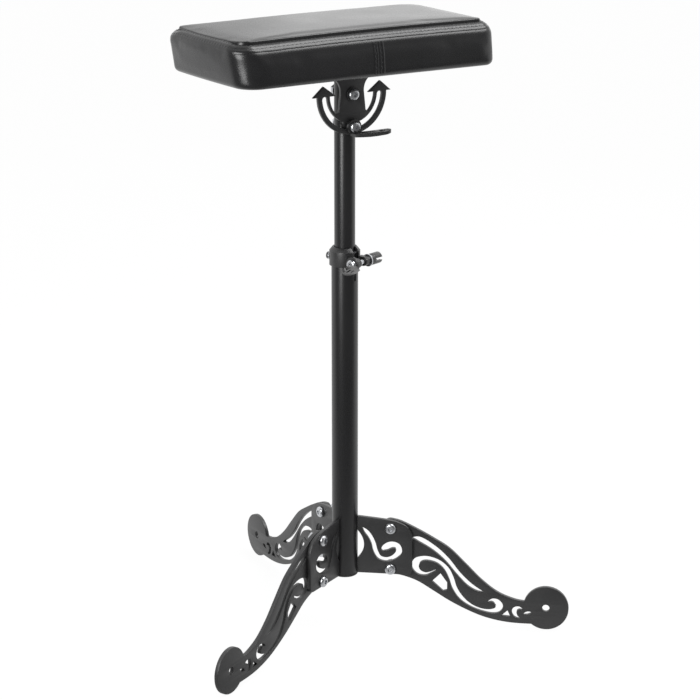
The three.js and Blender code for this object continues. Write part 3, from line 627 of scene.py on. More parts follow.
bush_bottom = COLUMN_TOP - BUSH_LENGTH
bush_seat = COLUMN_TOP + GAP
bush = lathe_object("guide_bush", [
    (MAST_RADIUS + GAP, bush_bottom), (COLUMN_BORE - GAP, bush_bottom), (COLUMN_BORE - GAP, bush_seat),
    (COLUMN_RADIUS - GAP, bush_seat), (COLUMN_RADIUS - GAP, bush_seat + BUSH_FLANGE),
    (MAST_RADIUS + GAP, bush_seat + BUSH_FLANGE)], soft=BUSH_EDGE)
place_piece(bush, "base", nylon, "upper_guide_bush")

# Wings and legs
SCREW_RADIUS = 57
LOWER_SCREW = 72.6
UPPER_SCREW = 126
SCREW_HOLE = M8["shank"] + GAP
WING_ROOT = COLUMN_RADIUS + GAP
WING_REACH = 84
WING_BOTTOM = 66
WING_TOP = 140.5
WING_CORNER = 7
WING_SHOULDER_SHARE = 0.7
WING_HOLLOW = 15.4
WING_HOLLOW_TOP_SHARE = 0.75
WING_HOLLOW_BOTTOM_SHARE = 0.262
LOWER_EAR = 9
UPPER_EAR = 11
FOOT_TOP_ANGLE = 164
FOOT_BOTTOM_ANGLE = 231
FOOT_HOLE = 4.6
WING_TOP_SHARES = ((0.58, 0.949), (0.8, 0.895), (0.925, 0.82))
WING_SCROLL_SHARES = (
    (0.084, 0.805, 0.007), (0.154, 0.732, 0.04), (0.228, 0.642, 0.042), (0.287, 0.529, 0.041),
    (0.324, 0.399, 0.043), (0.402, 0.282, 0.042), (0.541, 0.255, 0.042), (0.671, 0.304, 0.045),
    (0.756, 0.399, 0.055), (0.723, 0.496, 0.058), (0.615, 0.514, 0.065), (0.504, 0.461, 0.06),
    (0.442, 0.411, 0.022))
SLIT_SHARES = (
    (0.142, 0.897, 0.008), (0.179, 0.887, 0.026), (0.282, 0.794, 0.027), (0.361, 0.685, 0.024),
    (0.438, 0.54, 0.021), (0.508, 0.433, 0.023), (0.56, 0.383, 0.017), (0.601, 0.359, 0.004))
SCROLL_SHARES = (
    (0.29, 0.569, 0.006), (0.255, 0.54, 0.009), (0.22, 0.524, 0.017), (0.18, 0.542, 0.027),
    (0.158, 0.595, 0.034), (0.167, 0.653, 0.035), (0.197, 0.681, 0.027), (0.24, 0.687, 0.024),
    (0.308, 0.655, 0.022), (0.36, 0.583, 0.025), (0.391, 0.488, 0.025), (0.412, 0.391, 0.024),
    (0.455, 0.29, 0.023), (0.518, 0.214, 0.016), (0.593, 0.171, 0.015), (0.657, 0.163, 0.024),
    (0.69, 0.181, 0.032), (0.701, 0.222, 0.037), (0.685, 0.262, 0.031), (0.661, 0.277, 0.021),
    (0.64, 0.269, 0.01), (0.626, 0.252, 0.003))
CRESCENT_SHARES = (
    (0.85, 0.196, 0.006), (0.828, 0.21, 0.017), (0.804, 0.196, 0.023), (0.798, 0.163, 0.023),
    (0.808, 0.127, 0.018), (0.832, 0.101, 0.006))
DROP_SHARES = ((0.856, 0.143, 0.004), (0.878, 0.159, 0.016), (0.898, 0.166, 0.012), (0.907, 0.165, 0.006))
TRIANGLE_SHARES = ((0.321, 0.536), (0.364, 0.444), (0.364, 0.363), (0.338, 0.351), (0.266, 0.45))
SMALL_TRIANGLE_SHARES = ((0.755, 0.179), (0.775, 0.113), (0.714, 0.119))
LEG_TOP_SHARES = (
    (0.067, 1.063), (0.171, 0.988), (0.275, 0.901), (0.378, 0.802), (0.482, 0.647), (0.585, 0.488),
    (0.689, 0.367), (0.793, 0.302))
LEG_BOTTOM_SHARES = (
    (0.793, 0.052), (0.689, 0.071), (0.585, 0.111), (0.482, 0.175), (0.378, 0.256), (0.275, 0.353),
    (0.171, 0.448), (0.067, 0.5))


def wing_outline():
    height = WING_TOP - WING_BOTTOM
    depth = WING_REACH - WING_ROOT

    def at(x, share):
        return Vector((x, WING_BOTTOM + share * height))

    outline = [at(WING_ROOT, 0)]
    outline += bend(Vector((WING_REACH - WING_CORNER, WING_BOTTOM)), at(WING_REACH, 0),
                    Vector((WING_REACH, WING_BOTTOM + WING_CORNER)), 10)
    shoulder = [at(WING_ROOT + x * depth, z) for x, z in WING_TOP_SHARES[::-1]]
    outline += smooth([at(WING_REACH, WING_SHOULDER_SHARE), *shoulder, at(WING_ROOT, 1)], 48)
    middle_share = (WING_HOLLOW_TOP_SHARE + WING_HOLLOW_BOTTOM_SHARE) / 2
    outline += bend(at(WING_ROOT, WING_HOLLOW_TOP_SHARE), at(WING_ROOT + WING_HOLLOW, middle_share),
                    at(WING_ROOT, WING_HOLLOW_BOTTOM_SHARE), 24)
    scroll = [Vector((WING_ROOT + x * depth, WING_BOTTOM + z * height, half * depth))
              for x, z, half in WING_SCROLL_SHARES]
    holes = [circle(SCREW_RADIUS, z, SCREW_HOLE) for z in (UPPER_SCREW, LOWER_SCREW)]
    return outline, [stroke(scroll, 120), *holes]


def leg_outline():
    def along(share):
        return SCREW_RADIUS + share * (LEG_REACH - SCREW_RADIUS)

    def at(shares):
        return Vector((along(shares[0]), shares[1] * UPPER_SCREW))

    def cut_out(table, steps):
        line = [Vector((along(x), z * UPPER_SCREW, half * UPPER_SCREW)) for x, z, half in table]
        return stroke(line, steps)

    def foot(degrees):
        turn = math.radians(degrees)
        return Vector((LEG_REACH + FOOT_RADIUS * math.cos(turn),
                       FOOT_RADIUS + FOOT_RADIUS * math.sin(turn)))

    low, high = LOWER_SCREW + LOWER_EAR, UPPER_SCREW - UPPER_EAR
    outline = arc(SCREW_RADIUS, LOWER_SCREW, LOWER_EAR, -QUARTER, -3 * QUARTER, 20)
    outline += arc(SCREW_RADIUS, (low + high) / 2, (high - low) / 2, -QUARTER, QUARTER, 24)
    outline += arc(SCREW_RADIUS, UPPER_SCREW, UPPER_EAR, -QUARTER, -3 * QUARTER, 20)
    outline += smooth([Vector((SCREW_RADIUS, UPPER_SCREW + UPPER_EAR)), *map(at, LEG_TOP_SHARES),
                       foot(FOOT_TOP_ANGLE)], 80)
    outline += arc(LEG_REACH, FOOT_RADIUS, FOOT_RADIUS, math.radians(FOOT_TOP_ANGLE),
                   math.radians(FOOT_BOTTOM_ANGLE - 360), 84)
    outline += smooth([foot(FOOT_BOTTOM_ANGLE), *map(at, LEG_BOTTOM_SHARES),
                       Vector((SCREW_RADIUS, LOWER_SCREW - LOWER_EAR))], 80)
    holes = [circle(SCREW_RADIUS, UPPER_SCREW, SCREW_HOLE), circle(SCREW_RADIUS, LOWER_SCREW, SCREW_HOLE),
             cut_out(SLIT_SHARES, 60), cut_out(SCROLL_SHARES, 180), cut_out(CRESCENT_SHARES, 40),
             cut_out(DROP_SHARES, 20), [at(s) for s in TRIANGLE_SHARES],
             [at(s) for s in SMALL_TRIANGLE_SHARES], circle(LEG_REACH, FOOT_RADIUS, FOOT_HOLE)]
    return outline, holes


wing = wing_outline()
leg = leg_outline()
for index, (azimuth, side) in enumerate(zip(LEG_AZIMUTHS, LEG_SIDES)):
    number = index + 1
    turn = turn_about_z(azimuth)
    piece = plate_object(f"wing_{number}", *wing, PLATE, turn)
    place_piece(piece, "base", coat, f"wing_plate_{number}")
    piece = plate_object(f"leg_{number}", *leg, PLATE, turn @ shift(0, side * (PLATE + GAP), 0))
    place_piece(piece, "base", coat, f"leg_plate_{number}")
    for level, height in (("upper", UPPER_SCREW), ("lower", LOWER_SCREW)):
        spin = Matrix.Identity(4) if side > 0 else turn_about_z(180)
        seat = turn @ shift(SCREW_RADIUS, -side * (PLATE / 2 + GAP), height) @ spin @ FACING_FRONT
        spot = f"{number}_{level}"
        screw_object(f"leg_bolt_{spot}", M8, LEG_SCREW_LENGTH, seat, "base", f"leg_screw_{spot}")
        dressed_copy(f"leg_nut_{spot}", f"leg_bolt_nut_{spot}", "base", zinc, 0.3)

# Clamp collar, its lever and its fasteners
dressed_copy("clamp_collar", "top_collar", "base", coat, 0.7, limit=30)
dressed_copy("clamp_slotted_nut", "split_nut", "base", coat, 0.5, limit=40)
dressed_copy("clamp_lever", "height_lever", "clamp_handle", coat, 0.9, limit=30)
dressed_copy("lock_lever", "tilt_lever", "tilt_handle", coat, 0.9, limit=30)

# Tilt plate with its arc slot and arrow tips, and the bolts of its pivot, its lock and the clamp
HEAD = shift(0, 0, PIVOT_HEIGHT) @ turn_about_z(PAD_AZIMUTH)
BRACKET_PLATE = 4
BRACKET_TOP = 24.6
PIVOT_FACE = -18.6
LOCK_FACE = -22.3
CLAMP_FACE = (-16.8, -25)


def tilt_outline():
    shank, flare, top = 16, 38, BRACKET_TOP
    inner, outer, half = 31, 47.5, 3.6
    notch = math.atan2(-21.5, 20.5 + half)
    right = bend(Vector((flare, top)), Vector((shank, top * 0.8)), Vector((shank, 3)), 24)
    right += bend(Vector((18.5, -19.5)), Vector((20.5, -23.5)), arc(0, 0, inner, notch, 0, 1)[0], 12)
    right += arc(0, 0, inner, notch, 0, 16)
    right += [Vector((22.5, 0)), Vector(((inner + outer) / 2, 12.2)), Vector((53.8, 0))]
    right += arc(0, 0, outer, 0, -QUARTER, 40)
    left = [Vector((-p.x, p.y)) for p in right][::-1]
    sweep = (math.radians(-5), math.radians(-175))
    ends = [arc(0, 0, LOCK_DISTANCE, turn, turn, 1)[0] for turn in sweep]
    slot = arc(0, 0, LOCK_DISTANCE + half, *sweep, 72)
    slot += arc(ends[1].x, ends[1].y, half, sweep[1], sweep[1] - HALF, 16)
    slot += arc(0, 0, LOCK_DISTANCE - half, *sweep, 72)[::-1]
    slot += arc(ends[0].x, ends[0].y, half, sweep[0] + HALF, sweep[0], 16)
    return right + left, [circle(0, 0, SCREW_HOLE), slot]


piece = plate_object("tilt_bracket", *tilt_outline(), BRACKET_PLATE,
                     HEAD @ shift(0, -MAST_RADIUS - GAP - BRACKET_PLATE / 2, 0))
place_piece(piece, "head", coat, "tilt_plate")

PIVOT_SEAT = HEAD @ shift(0, PIVOT_FACE, 0) @ FACING_FRONT
LOCK_SEAT = turn_about_z(PAD_AZIMUTH) @ shift(0, LOCK_FACE, LOCK_HEIGHT) @ FACING_FRONT
CLAMP_SEAT = turn_about_z(CLAMP_TURN) @ shift(*CLAMP_FACE, CLAMP_HEIGHT) @ turn_about_z(-90) @ FACING_FRONT
screw_object("pivot_screw", M8, PIVOT_SCREW_LENGTH, PIVOT_SEAT, "mast", "pivot_bolt")
screw_object("lock_screw", M6, LOCK_SCREW_LENGTH, LOCK_SEAT, "tilt_handle", "lock_bolt")
screw_object("clamp_screw", M6, CLAMP_SCREW_LENGTH, CLAMP_SEAT, "clamp_handle", "clamp_bolt")

# The pad's base plate and the screws from below
BASE_BOTTOM = BRACKET_TOP + GAP
BASE_PLATE = 3
BASE_MIDDLE = 2
BASE_CORNER = 6
CORNER_SPOT = (39, 34)
SCREW_SPOT = (36, 30)
FLAT = Matrix.Rotation(-QUARTER, 4, "X")
HEAD_DOWN = Matrix.Rotation(HALF, 4, "X")
corner_signs = ((1, 1), (-1, 1), (-1, -1), (1, -1))
plate_rim = []
for index, (along, across) in enumerate(corner_signs):
    plate_rim += arc(along * CORNER_SPOT[0], BASE_MIDDLE + across * CORNER_SPOT[1], BASE_CORNER,
                     index * QUARTER, (index + 1) * QUARTER, 14)
screw_spots = [(along * SCREW_SPOT[0], BASE_MIDDLE + across * SCREW_SPOT[1])
               for along, across in ((-1, -1), (1, -1), (1, 1), (-1, 1))]
piece = plate_object("pad_plate", plate_rim, [circle(x, y, M5["shank"] + GAP, 28) for x, y in screw_spots],
                     BASE_PLATE, HEAD @ shift(0, 0, BASE_BOTTOM + BASE_PLATE / 2) @ FLAT, edge=0.3)
place_piece(piece, "head", coat, "pad_base_plate")
for index, (x, y) in enumerate(screw_spots):
    seat = HEAD @ shift(x, y, BASE_BOTTOM - GAP) @ HEAD_DOWN
    screw_object(f"pad_bolt_{index + 1}", M5, PAD_SCREW_LENGTH, seat, "head", f"pad_screw_{index + 1}")

# The padded rest
PAD_OFFSET = (-11, 12)
PAD_TURN = HEAD @ shift(*PAD_OFFSET, 0)
DUST_BOTTOM = BASE_BOTTOM + BASE_PLATE + GAP
DUST_THICKNESS = 0.8
PAD_BOTTOM = DUST_BOTTOM + DUST_THICKNESS + GAP
SIDE_TOP = PAD_BOTTOM + PAD_SIDE_HEIGHT
PAD_CORNERS = (34, 16, 25, 14)
END_SWELL = 3
END_GROWTH = 2.5
BOTTOM_ROUND = 6.5
LEFT_LEAN = 8.8
FRONT_LEAN = 4
CORNER_STEPS = 10
LEAST_CORNER_SHARE = 0.3
LONG_CELLS = 72
SHORT_CELLS = 34


def pad_level(depth, height):
    """One level of the pad: a rounded rectangle whose left end leans in, and its front out, downwards."""
    lean = max(0, SIDE_TOP - height) / PAD_SIDE_HEIGHT
    right, back = PAD_LENGTH / 2 + END_GROWTH - depth, PAD_WIDTH / 2 - depth
    left, front = LEFT_LEAN * lean - right, -back - FRONT_LEAN * lean
    turns = []
    for index, ((along, across), corner) in enumerate(zip(corner_signs, PAD_CORNERS)):
        corner = max(corner - depth, corner * LEAST_CORNER_SHARE)
        middle = Vector(((right if along > 0 else left) - along * corner,
                         (back if across > 0 else front) - across * corner))
        turns.append(arc(middle.x, middle.y, corner, index * QUARTER, (index + 1) * QUARTER, CORNER_STEPS))
    out = []
    for index, turn in enumerate(turns):
        cells = SHORT_CELLS if index % 2 else LONG_CELLS
        after = turns[(index + 1) % 4][0]
        out += turn + [turn[-1].lerp(after, i / cells) for i in range(1, cells)]
    for p in out:
        p.x += math.copysign(END_SWELL * (1 - (p.y / front) ** 2) * (p.x / right) ** 8, p.x)
    return [Vector((p.x, p.y, height)) for p in out]


# The pad's edge from its side up to the top panel: how far in, and how far above the side's top
# on the long sides, where the seam pulls it down, and at the ends
SHOULDER = ((0, -17, -15), (0.1, -14.4, -12.4), (0.6, -12.2, -9.8), (1.8, -10, -7), (3.6, -7.9, -4.6),
            (5.8, -5.9, -2.7), (8, -4.3, -1.3), (10, -3.1, -0.4), (11.3, -2.7, -0.1), (12, -3.2, -0.3),
            (12.1, -2.4, 0), (12.15, -0.6, 0.4), (12.4, 0.6, 0.8), (13, 1.25, 1.1), (14.2, 1.5, 1.4),
            (18, 1.65, 1.6))
LOW_FROM_SHARE = 0.72
LOW_OVER_SHARE = 0.22
ARCH = 2
PANEL_RISE = 1.0
PANEL_ROWS = 16
SAG = 2.4
SAG_HEIGHT = 20
SAG_LEFT = 0.3
SAG_RIGHT = 0.7
SAGGING_LEVELS = 10
UNDERSIDE_INSET = 20
ROUND_ROWS = 6
WALL_ROWS = 7


def arched(p):
    """How far the stuffing lifts the pad's top between its ends."""
    return ARCH * (1 - (p.x * 2 / PAD_LENGTH) ** 2)


def shoulder_level(depth, side_rise, end_rise, grow, drop):
    """One level of the pad's edge, which runs lower along the sides than round the ends."""
    out = pad_level(depth - grow, SIDE_TOP + end_rise - drop)
    for p in out:
        share = min(1, max(0, (abs(p.y) + depth) / PAD_WIDTH * 2 - LOW_FROM_SHARE) / LOW_OVER_SHARE)
        p.z += (side_rise - end_rise) * share ** 2 * (3 - 2 * share)
        p.z += arched(p)
    return out


def pad_skin(grow, drop):
    """The pad's closed outside, grown by a little all round and its top lowered a little."""
    levels = [pad_level(UNDERSIDE_INSET - grow, PAD_BOTTOM)]
    for i in range(ROUND_ROWS + 1):
        turn = QUARTER * i / ROUND_ROWS
        levels.append(pad_level(BOTTOM_ROUND * (1 - math.sin(turn)) - grow,
                                PAD_BOTTOM + BOTTOM_ROUND * (1 - math.cos(turn))))
    low, high = PAD_BOTTOM + BOTTOM_ROUND, SIDE_TOP + SHOULDER[0][1]
    levels += [pad_level(-grow, low + (high - low) * i / WALL_ROWS) for i in range(1, WALL_ROWS)]
    levels += [shoulder_level(*step, grow, drop) for step in SHOULDER]
    rim = levels[-1]
    for i in range(1, PANEL_ROWS):
        share = 1 - i / PANEL_ROWS
        levels.append([Vector((p.x * share, p.y * share, 0)) for p in rim])
        for p in levels[-1]:
            p.z = rim[0].z + PANEL_RISE * (1 - share ** 2) + arched(p) - arched(rim[0])
    for level in levels[1:SAGGING_LEVELS]:
        for p in level:
            sag = SAG * (SAG_LEFT + SAG_RIGHT * max(0, p.x * 2 / PAD_LENGTH))
            p.z -= sag * max(0, 1 - (p.z - PAD_BOTTOM) / SAG_HEIGHT)
    crown = rim[0].z + PANEL_RISE + ARCH - arched(rim[0])
    return skinned(levels, Vector((0, 0, PAD_BOTTOM)), Vector((0, 0, crown)))


# How the cover is stuffed: the skin's growth and drop, then the cloth's mesh, pressure and time
COVER_GROWTH = 1.2
COVER_DROP = 0.4
CLOTH_CELL = 4.5
CLOTH_PRESSURE = 1.6
CLOTH_FRAMES = 20
HELD_HEIGHT = 4
MOST_MOVE = 1.0
NEAR_PLACES = 8


def blown_up(points, faces):
    """Blows a closed skin up as cloth, its underside held flat, and gives each place and its move."""
    obj = mesh_object("stuffing", points, faces, angle=180)
    step = obj.modifiers.new("grid", "REMESH")
    step.mode = "VOXEL"
    step.voxel_size = CLOTH_CELL * MM
    baked(obj, 180)
    start = [v.co.copy() for v in obj.data.vertices]
    held = obj.vertex_groups.new(name="held")
    held_top = (PAD_BOTTOM + HELD_HEIGHT) * MM
    held.add([i for i, place in enumerate(start) if place.z < held_top], 1.0, "REPLACE")
    cloth = obj.modifiers.new("cloth", "CLOTH")
    cloth.settings.use_pressure = True
    cloth.settings.uniform_pressure_force = CLOTH_PRESSURE
    cloth.settings.vertex_group_mass = "held"
    cloth.settings.effector_weights.gravity = 0
    cloth.point_cache.frame_start = 1
    cloth.point_cache.frame_end = CLOTH_FRAMES
    for number in range(1, CLOTH_FRAMES + 1):
        scene.frame_set(number)
    graph = bpy.context.evaluated_depsgraph_get()
    ends = [v.co.copy() for v in obj.evaluated_get(graph).data.vertices]
    scene.frame_set(1)
    bpy.data.objects.remove(obj)
    return start, [there - here for here, there in zip(start, ends)]


def stuffed():
    """The pad's cover: a fine skin that follows a coarser one as it is blown up."""
    points, faces = pad_skin(COVER_GROWTH, COVER_DROP)
    places, moves = blown_up(points, faces)
    finder = KDTree(len(places))
    for i, place in enumerate(places):
        finder.insert(place, i)
    finder.balance()
    for i, point in enumerate(points):
        found = finder.find_n(point * MM, NEAR_PLACES)
        near = [(1 / (gap + 0.5 * MM), moves[k]) for _, k, gap in found]
        whole = sum(weight for weight, _ in near)
        move = sum((there * weight for weight, there in near), Vector()) / whole / MM
        if move.length > MOST_MOVE:
            move *= MOST_MOVE / move.length
        points[i] = point + move
    obj = mesh_object("pad_cushion", points, faces, PAD_TURN, angle=180)
    finer = obj.modifiers.new("finer", "SUBSURF")
    finer.levels = 1
    finer.render_levels = 1
    return baked(obj, 180)


cover = stuffed()
place_piece(cover, "head", leather_skin, "pad_cover", "pad_foam")

cover_shape = BVHTree.FromObject(cover, bpy.context.evaluated_depsgraph_get())


def walked(points, step):
    """Points spread evenly along a line, in metres."""
    out = [points[0].copy()]
    left = step
    for first, second in zip(points, points[1:]):
        run = (second - first).length
        done = 0
        while run - done >= left:
            done += left
            out.append(first.lerp(second, done / run))
            left = step
        left -= run - done
    return out


# Across a seam, from its crease or its middle: how far aside, and how far out of the cover
TOP_SEAM = ((-1.6, -0.7), (-1.1, 0), (-0.6, 0.5), (0.1, 0.6), (0.7, 0.45), (1.5, 0.65), (2.6, 0.8),
            (4, 0.85), (5.4, 0.8), (6.7, 0.55), (7.9, 0.7), (9.2, 0.65), (10.6, 0.5), (11.9, 0.2),
            (13.2, -0.4))
SIDE_SEAM = ((-8, -0.4), (-7, 0.1), (-5.6, 0.35), (-4.4, 0.3), (-3.7, 0.12), (-2.8, 0.35), (-1.2, 0.4),
             (-0.4, 0.1), (0, -0.25), (0.4, 0.1), (1.2, 0.4), (2.8, 0.35), (3.7, 0.12), (4.4, 0.3),
             (5.6, 0.45), (6.8, 0.5), (7.8, 0.2), (8.6, -0.4))
TOP_ROWS = (0.7, 6.7)
SIDE_ROWS = (-3.7, 3.7)
STITCH_PITCH = 5.6
STITCH_LENGTH = 4.2
STITCH_RADIUS = 0.45
STITCH_RISE = 0.45
STITCH_SINK = 0.55
STITCH_TIP = 0.06
STITCH_PULL = 0.32
PULL_REACH = 2.2
BAND_STEPS = 4
SWELL = 0.12
SWELL_SCALE = 70
SWELLING_RISE = 0.3
SURFACE_STEP = 2


def beside(here, way, asides):
    """Places on the cover to one side of a line, reached along its surface, and the way out from each."""
    place, up = cover_shape.find_nearest(here)[:2]
    reached = 0
    out = []
    for aside in asides:
        steps = max(1, math.ceil(abs(aside - reached) / SURFACE_STEP))
        for _ in range(steps):
            across = way.cross(up).normalized()
            place, up = cover_shape.find_nearest(place + across * (aside - reached) / steps * MM)[:2]
        reached = aside
        out.append((place, up))
    return out


def seam_band(name, path, closed, section, rows):
    """A flat felled seam that follows the cover, drawn in a little at each stitch."""
    line = walked([p * MM for p in path], STITCH_PITCH / BAND_STEPS * MM)
    points, faces = [], []
    count, wide = len(line), len(section)
    for i, here in enumerate(line):
        before = line[i - 1] if closed or i else here
        after = line[(i + 1) % count] if closed or i < count - 1 else here
        way = (after - before).normalized()
        pull = STITCH_PULL * (0.5 - 0.5 * math.cos(FULL * i / BAND_STEPS))
        swell = noise.noise(here * SWELL_SCALE) * SWELL
        for (aside, rise), (place, up) in zip(section, beside(here, way, [aside for aside, _ in section])):
            close = max(0, 1 - min(abs(aside - row) for row in rows) / PULL_REACH)
            height = rise - close * pull + (swell if rise > SWELLING_RISE else 0)
            points.append((place + up * height * MM) / MM)
    for i in range(count if closed else count - 1):
        j = (i + 1) % count
        for k in range(wide - 1):
            faces.append((i * wide + k, j * wide + k, j * wide + k + 1, i * wide + k + 1))
    return mesh_object(name, points, faces, angle=75)


def stitches(name, path, rows, closed):
    """Rows of stitches beside a line on the cover."""
    line = walked([p * MM for p in path], STITCH_PITCH * MM)
    points, faces = [], []
    ring, parts = 6, 5
    count = len(line)
    for i, here in enumerate(line):
        after = line[(i + 1) % count] if closed or i < count - 1 else here * 2 - line[i - 1]
        way = (after - here).normalized()
        for middle, up in beside(here, way, rows):
            sideways = way.cross(up).normalized()
            first = len(points)
            for part in range(parts):
                share = 2 * part / (parts - 1) - 1
                size = STITCH_RADIUS * math.sqrt(max(STITCH_TIP, 1 - share ** 4))
                height = STITCH_RISE - STITCH_SINK * share ** 4
                centre = middle + way * share * STITCH_LENGTH / 2 * MM + up * height * MM
                for k in range(ring):
                    turn = FULL * k / ring
                    out = sideways * math.cos(turn) + up * math.sin(turn)
                    points.append((centre + out * size * MM) / MM)
            for part in range(parts - 1):
                for k in range(ring):
                    a, b = first + part * ring, first + (part + 1) * ring
                    faces.append((a + k, a + (k + 1) % ring, b + (k + 1) % ring, b + k))
            faces.append(tuple(first + k for k in range(ring))[::-1])
            faces.append(tuple(first + (parts - 1) * ring + k for k in range(ring)))
    return mesh_object(name, points, faces, angle=60)


TOP_SEAM_DEPTH = 9.6
TOP_SEAM_RISE = -2.6
rim_line = [PAD_TURN @ p for p in shoulder_level(TOP_SEAM_DEPTH, TOP_SEAM_RISE, 0, 0, 0)]
rim_line.append(rim_line[0].copy())
piece = seam_band("top_seam", rim_line, True, TOP_SEAM, TOP_ROWS)
place_piece(piece, "head", leather_skin)
piece = stitches("top_seam_thread", rim_line, TOP_ROWS, True)
place_piece(piece, "head", thread_skin)

# The upright seams of the two long sides, from the bottom edge to the top seam
SIDE_SEAM_PLACE = 9
seam_heights = (PAD_BOTTOM + 4, PAD_BOTTOM + 20, PAD_BOTTOM + 30, SIDE_TOP - 10)
for label, across in (("front", -PAD_WIDTH / 2 - FRONT_LEAN), ("back", PAD_WIDTH / 2)):
    line = [PAD_TURN @ Vector((SIDE_SEAM_PLACE, across, height)) for height in seam_heights]
    piece = seam_band(f"{label}_seam", line, False, SIDE_SEAM, SIDE_ROWS)
    place_piece(piece, "head", leather_skin)
    piece = stitches(f"{label}_seam_thread", line, SIDE_ROWS, False)
    place_piece(piece, "head", thread_skin)

# Dust cloth under the pad, stapled round its edge
DUST_MARGIN = 12
DUST_RINGS = 26
DUST_WAVE = 0.25
# Its waves: their length, their share and where they lie in the noise
DUST_WAVES = ((34, 0.5, 0), (11, 0.2, 9))
STAPLE_MARGIN = 4
STAPLE_PITCH = 26
STAPLE_DEPTH = 0.45
STAPLE_REACH = 5
STAPLE_SIDE = 0.6


def dust_sheet():
    """A thin sheet, a little wavy on its underside."""
    rim = pad_level(DUST_MARGIN, PAD_BOTTOM)
    top = DUST_BOTTOM + DUST_THICKNESS
    lower, upper = [], []
    for row in range(DUST_RINGS):
        share = 1 - row / DUST_RINGS
        upper.append([Vector((p.x * share, p.y * share, top)) for p in rim])
        lower.append([Vector((p.x, p.y, 0)) for p in upper[-1]])
        for p in lower[-1]:
            wave = sum(noise.noise(Vector((p.x, p.y, z)) / size) * part for size, part, z in DUST_WAVES)
            p.z = DUST_BOTTOM + DUST_WAVE * wave * min(1, row / 3)
    return skinned(lower[::-1] + upper, Vector((0, 0, DUST_BOTTOM)), Vector((0, 0, top)))


piece = mesh_object("underside_cloth", *dust_sheet(), PAD_TURN, angle=60)
place_piece(piece, "head", cloth_skin, "pad_dust_cloth")


def staples():
    """Small wire staples along the dust cloth's edge."""
    edge = pad_level(DUST_MARGIN + STAPLE_MARGIN, PAD_BOTTOM)
    rim = walked(edge + edge[:1], STAPLE_PITCH)
    points, faces = [], []
    for here, after in zip(rim, rim[1:]):
        way = (after - here).normalized()
        across = Vector((-way.y, way.x, 0))
        middle = Vector((here.x, here.y, DUST_BOTTOM - STAPLE_DEPTH))
        first = len(points)
        for rise in (0, STAPLE_SIDE):
            for dx, dy in ((-1, -1), (1, -1), (1, 1), (-1, 1)):
                points.append(middle + way * dx * STAPLE_REACH + across * dy * STAPLE_SIDE
                              + Vector((0, 0, rise)))
        for face in ((0, 3, 2, 1), (4, 5, 6, 7), (0, 1, 5, 4), (1, 2, 6, 5), (2, 3, 7, 6), (3, 0, 4, 7)):
            faces.append(tuple(first + k for k in face))
    return points, faces


piece = mesh_object("cloth_staples", *staples(), PAD_TURN)
rounded(piece, 0.2, 2)
place_piece(piece, "head", zinc)

# Materials of the nodes that stay
NODE_SKINS = {"pad_board": wood_skin, "lower_guide": nylon, "pivot_washer_front": coat,
              "collar_screw": coat}
BRIGHT_WORDS = ("washer", "bolt", "nut", "screw")
for name, node in nodes.items():
    if node.hide_render:
        continue
    usual = zinc if any(word in name for word in BRIGHT_WORDS) else coat
    node.data.materials.clear()
    node.data.materials.append(NODE_SKINS.get(name, usual)[1])
    smooth_shade(node.data)

# Floor, world and lamps
floor_shade = Shade("white_floor")
floor_shade.set(Roughness=0.9, Specular_IOR_Level=0.1)
floor_shade.base(floor_shade.noise(3, 2), 0.93, 0.95)
FLOOR_RADIUS = 14000
floor_rim = [Vector((*p, 0)) for p in circle(0, 0, FLOOR_RADIUS, 64)]
floor = mesh_object("floor", floor_rim, [range(len(floor_rim))])
floor.data.materials.append(floor_shade.material)

# How bright the studio's front stays, and where it rises to white along the floor and round the world
FRONT_LEVEL = 0.14
FLOOR_FADE = (-0.5, 0.25)
WORLD_FADE = (-0.6, 0.1)
WORLD_LEVEL = 0.85
FLOOR_SHARE = 0.93


def front_to_back(tree, along, near, far):
    """A level that rises from the dim front of the studio to its white back."""
    split = tree.nodes.new("ShaderNodeSeparateXYZ")
    tree.links.new(along, split.inputs["Vector"])
    level = tree.nodes.new("ShaderNodeMapRange")
    level.interpolation_type = "SMOOTHSTEP"
    set_range(level, near, far, FRONT_LEVEL, 1.0)
    tree.links.new(split.outputs["Y"], level.inputs["Value"])
    return level.outputs["Result"]


def chosen(tree, switch, off, on):
    """One of two numbers: off where the switch is 0, on where it is 1."""
    node = tree.nodes.new("ShaderNodeMix")
    for slot_index, value in ((0, switch), (2, off), (3, on)):
        if isinstance(value, (int, float)):
            node.inputs[slot_index].default_value = value
        else:
            tree.links.new(value, node.inputs[slot_index])
    return node.outputs[0]


def either(tree, first, second):
    node = tree.nodes.new("ShaderNodeMath")
    node.operation = "MAXIMUM"
    tree.links.new(first, node.inputs[0])
    tree.links.new(second, node.inputs[1])
    return node.outputs[0]


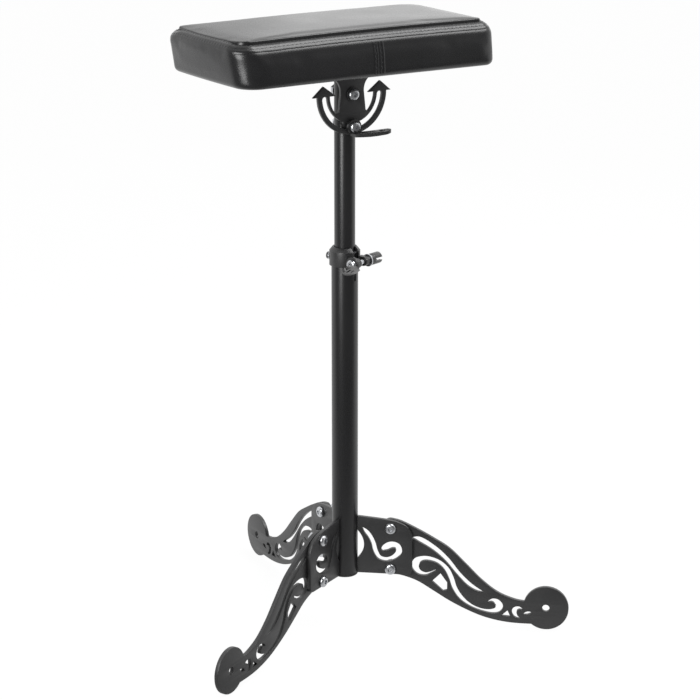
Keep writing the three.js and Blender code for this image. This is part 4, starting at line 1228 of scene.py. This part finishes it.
def floor_white():
    """Shows the floor white to the camera and in reflections, and keeps the object's shadow on it."""
    tree = floor_shade.tree
    ray = tree.nodes.new("ShaderNodeLightPath").outputs
    glow = tree.nodes.new("ShaderNodeEmission")
    back = front_to_back(tree, floor_shade.place, *FLOOR_FADE)
    tree.links.new(chosen(tree, ray["Is Camera Ray"], back, 1.0), glow.inputs["Strength"])
    shown = either(tree, ray["Is Camera Ray"], ray["Is Glossy Ray"])
    shown = either(tree, shown, ray["Is Transmission Ray"])
    mix = tree.nodes.new("ShaderNodeMixShader")
    tree.links.new(chosen(tree, shown, 0.0, FLOOR_SHARE), mix.inputs["Fac"])
    tree.links.new(floor_shade.shader.outputs["BSDF"], mix.inputs[1])
    tree.links.new(glow.outputs["Emission"], mix.inputs[2])
    tree.links.new(mix.outputs["Shader"], tree.nodes["Material Output"].inputs["Surface"])


floor_white()

world = bpy.data.worlds.new("studio")
scene.world = world
world.use_nodes = True
tree = world.node_tree
ray = tree.nodes.new("ShaderNodeLightPath").outputs
toward = tree.nodes.new("ShaderNodeTexCoord").outputs["Generated"]
mirrored = either(tree, ray["Is Glossy Ray"], ray["Is Transmission Ray"])
level = chosen(tree, mirrored, WORLD_LEVEL, front_to_back(tree, toward, *WORLD_FADE))
level = chosen(tree, ray["Is Camera Ray"], level, 1.0)
tree.links.new(level, tree.nodes["Background"].inputs["Strength"])
tree.nodes["Background"].inputs["Color"].default_value = (1, 1, 1, 1)


def lamp(name, place, aim, size, radiance):
    """A soft rectangular lamp of a given brightness."""
    light = bpy.data.lights.new(name, "AREA")
    light.shape = "RECTANGLE"
    light.size, light.size_y = (side * MM for side in size)
    light.energy = radiance * math.pi * light.size * light.size_y
    obj = linked(name, light)
    obj.location = Vector(place) * MM
    obj.rotation_euler = (Vector(aim) - Vector(place)).to_track_quat("-Z", "Y").to_euler()


lamp("left_strip", (-740, -1160, 930), (0, 0, 700), (560, 1200), 8.5)
lamp("top_box", (850, 60, 1950), (50, 0, 700), (900, 1100), 6)
lamp("back_panel", (900, 2100, 1400), (0, 0, 700), (2400, 1500), 0.5)

# Camera
CAMERA_LENS = 119.58
CAMERA_PLACE = (0.16, -2689.3, 1163.8)
CAMERA_DIP = 16.78
CAMERA_TURN = -0.13
camera_data = bpy.data.cameras.new("camera")
camera_data.lens = CAMERA_LENS
camera_data.sensor_width = 36
camera_data.sensor_fit = "HORIZONTAL"
camera_data.clip_start = 0.05
camera_data.clip_end = 50
camera = linked("camera", camera_data)
camera.location = [side * MM for side in CAMERA_PLACE]
camera.rotation_euler = (math.radians(90 - CAMERA_DIP), 0, math.radians(CAMERA_TURN))
scene.camera = camera

scene.view_settings.view_transform = "Standard"
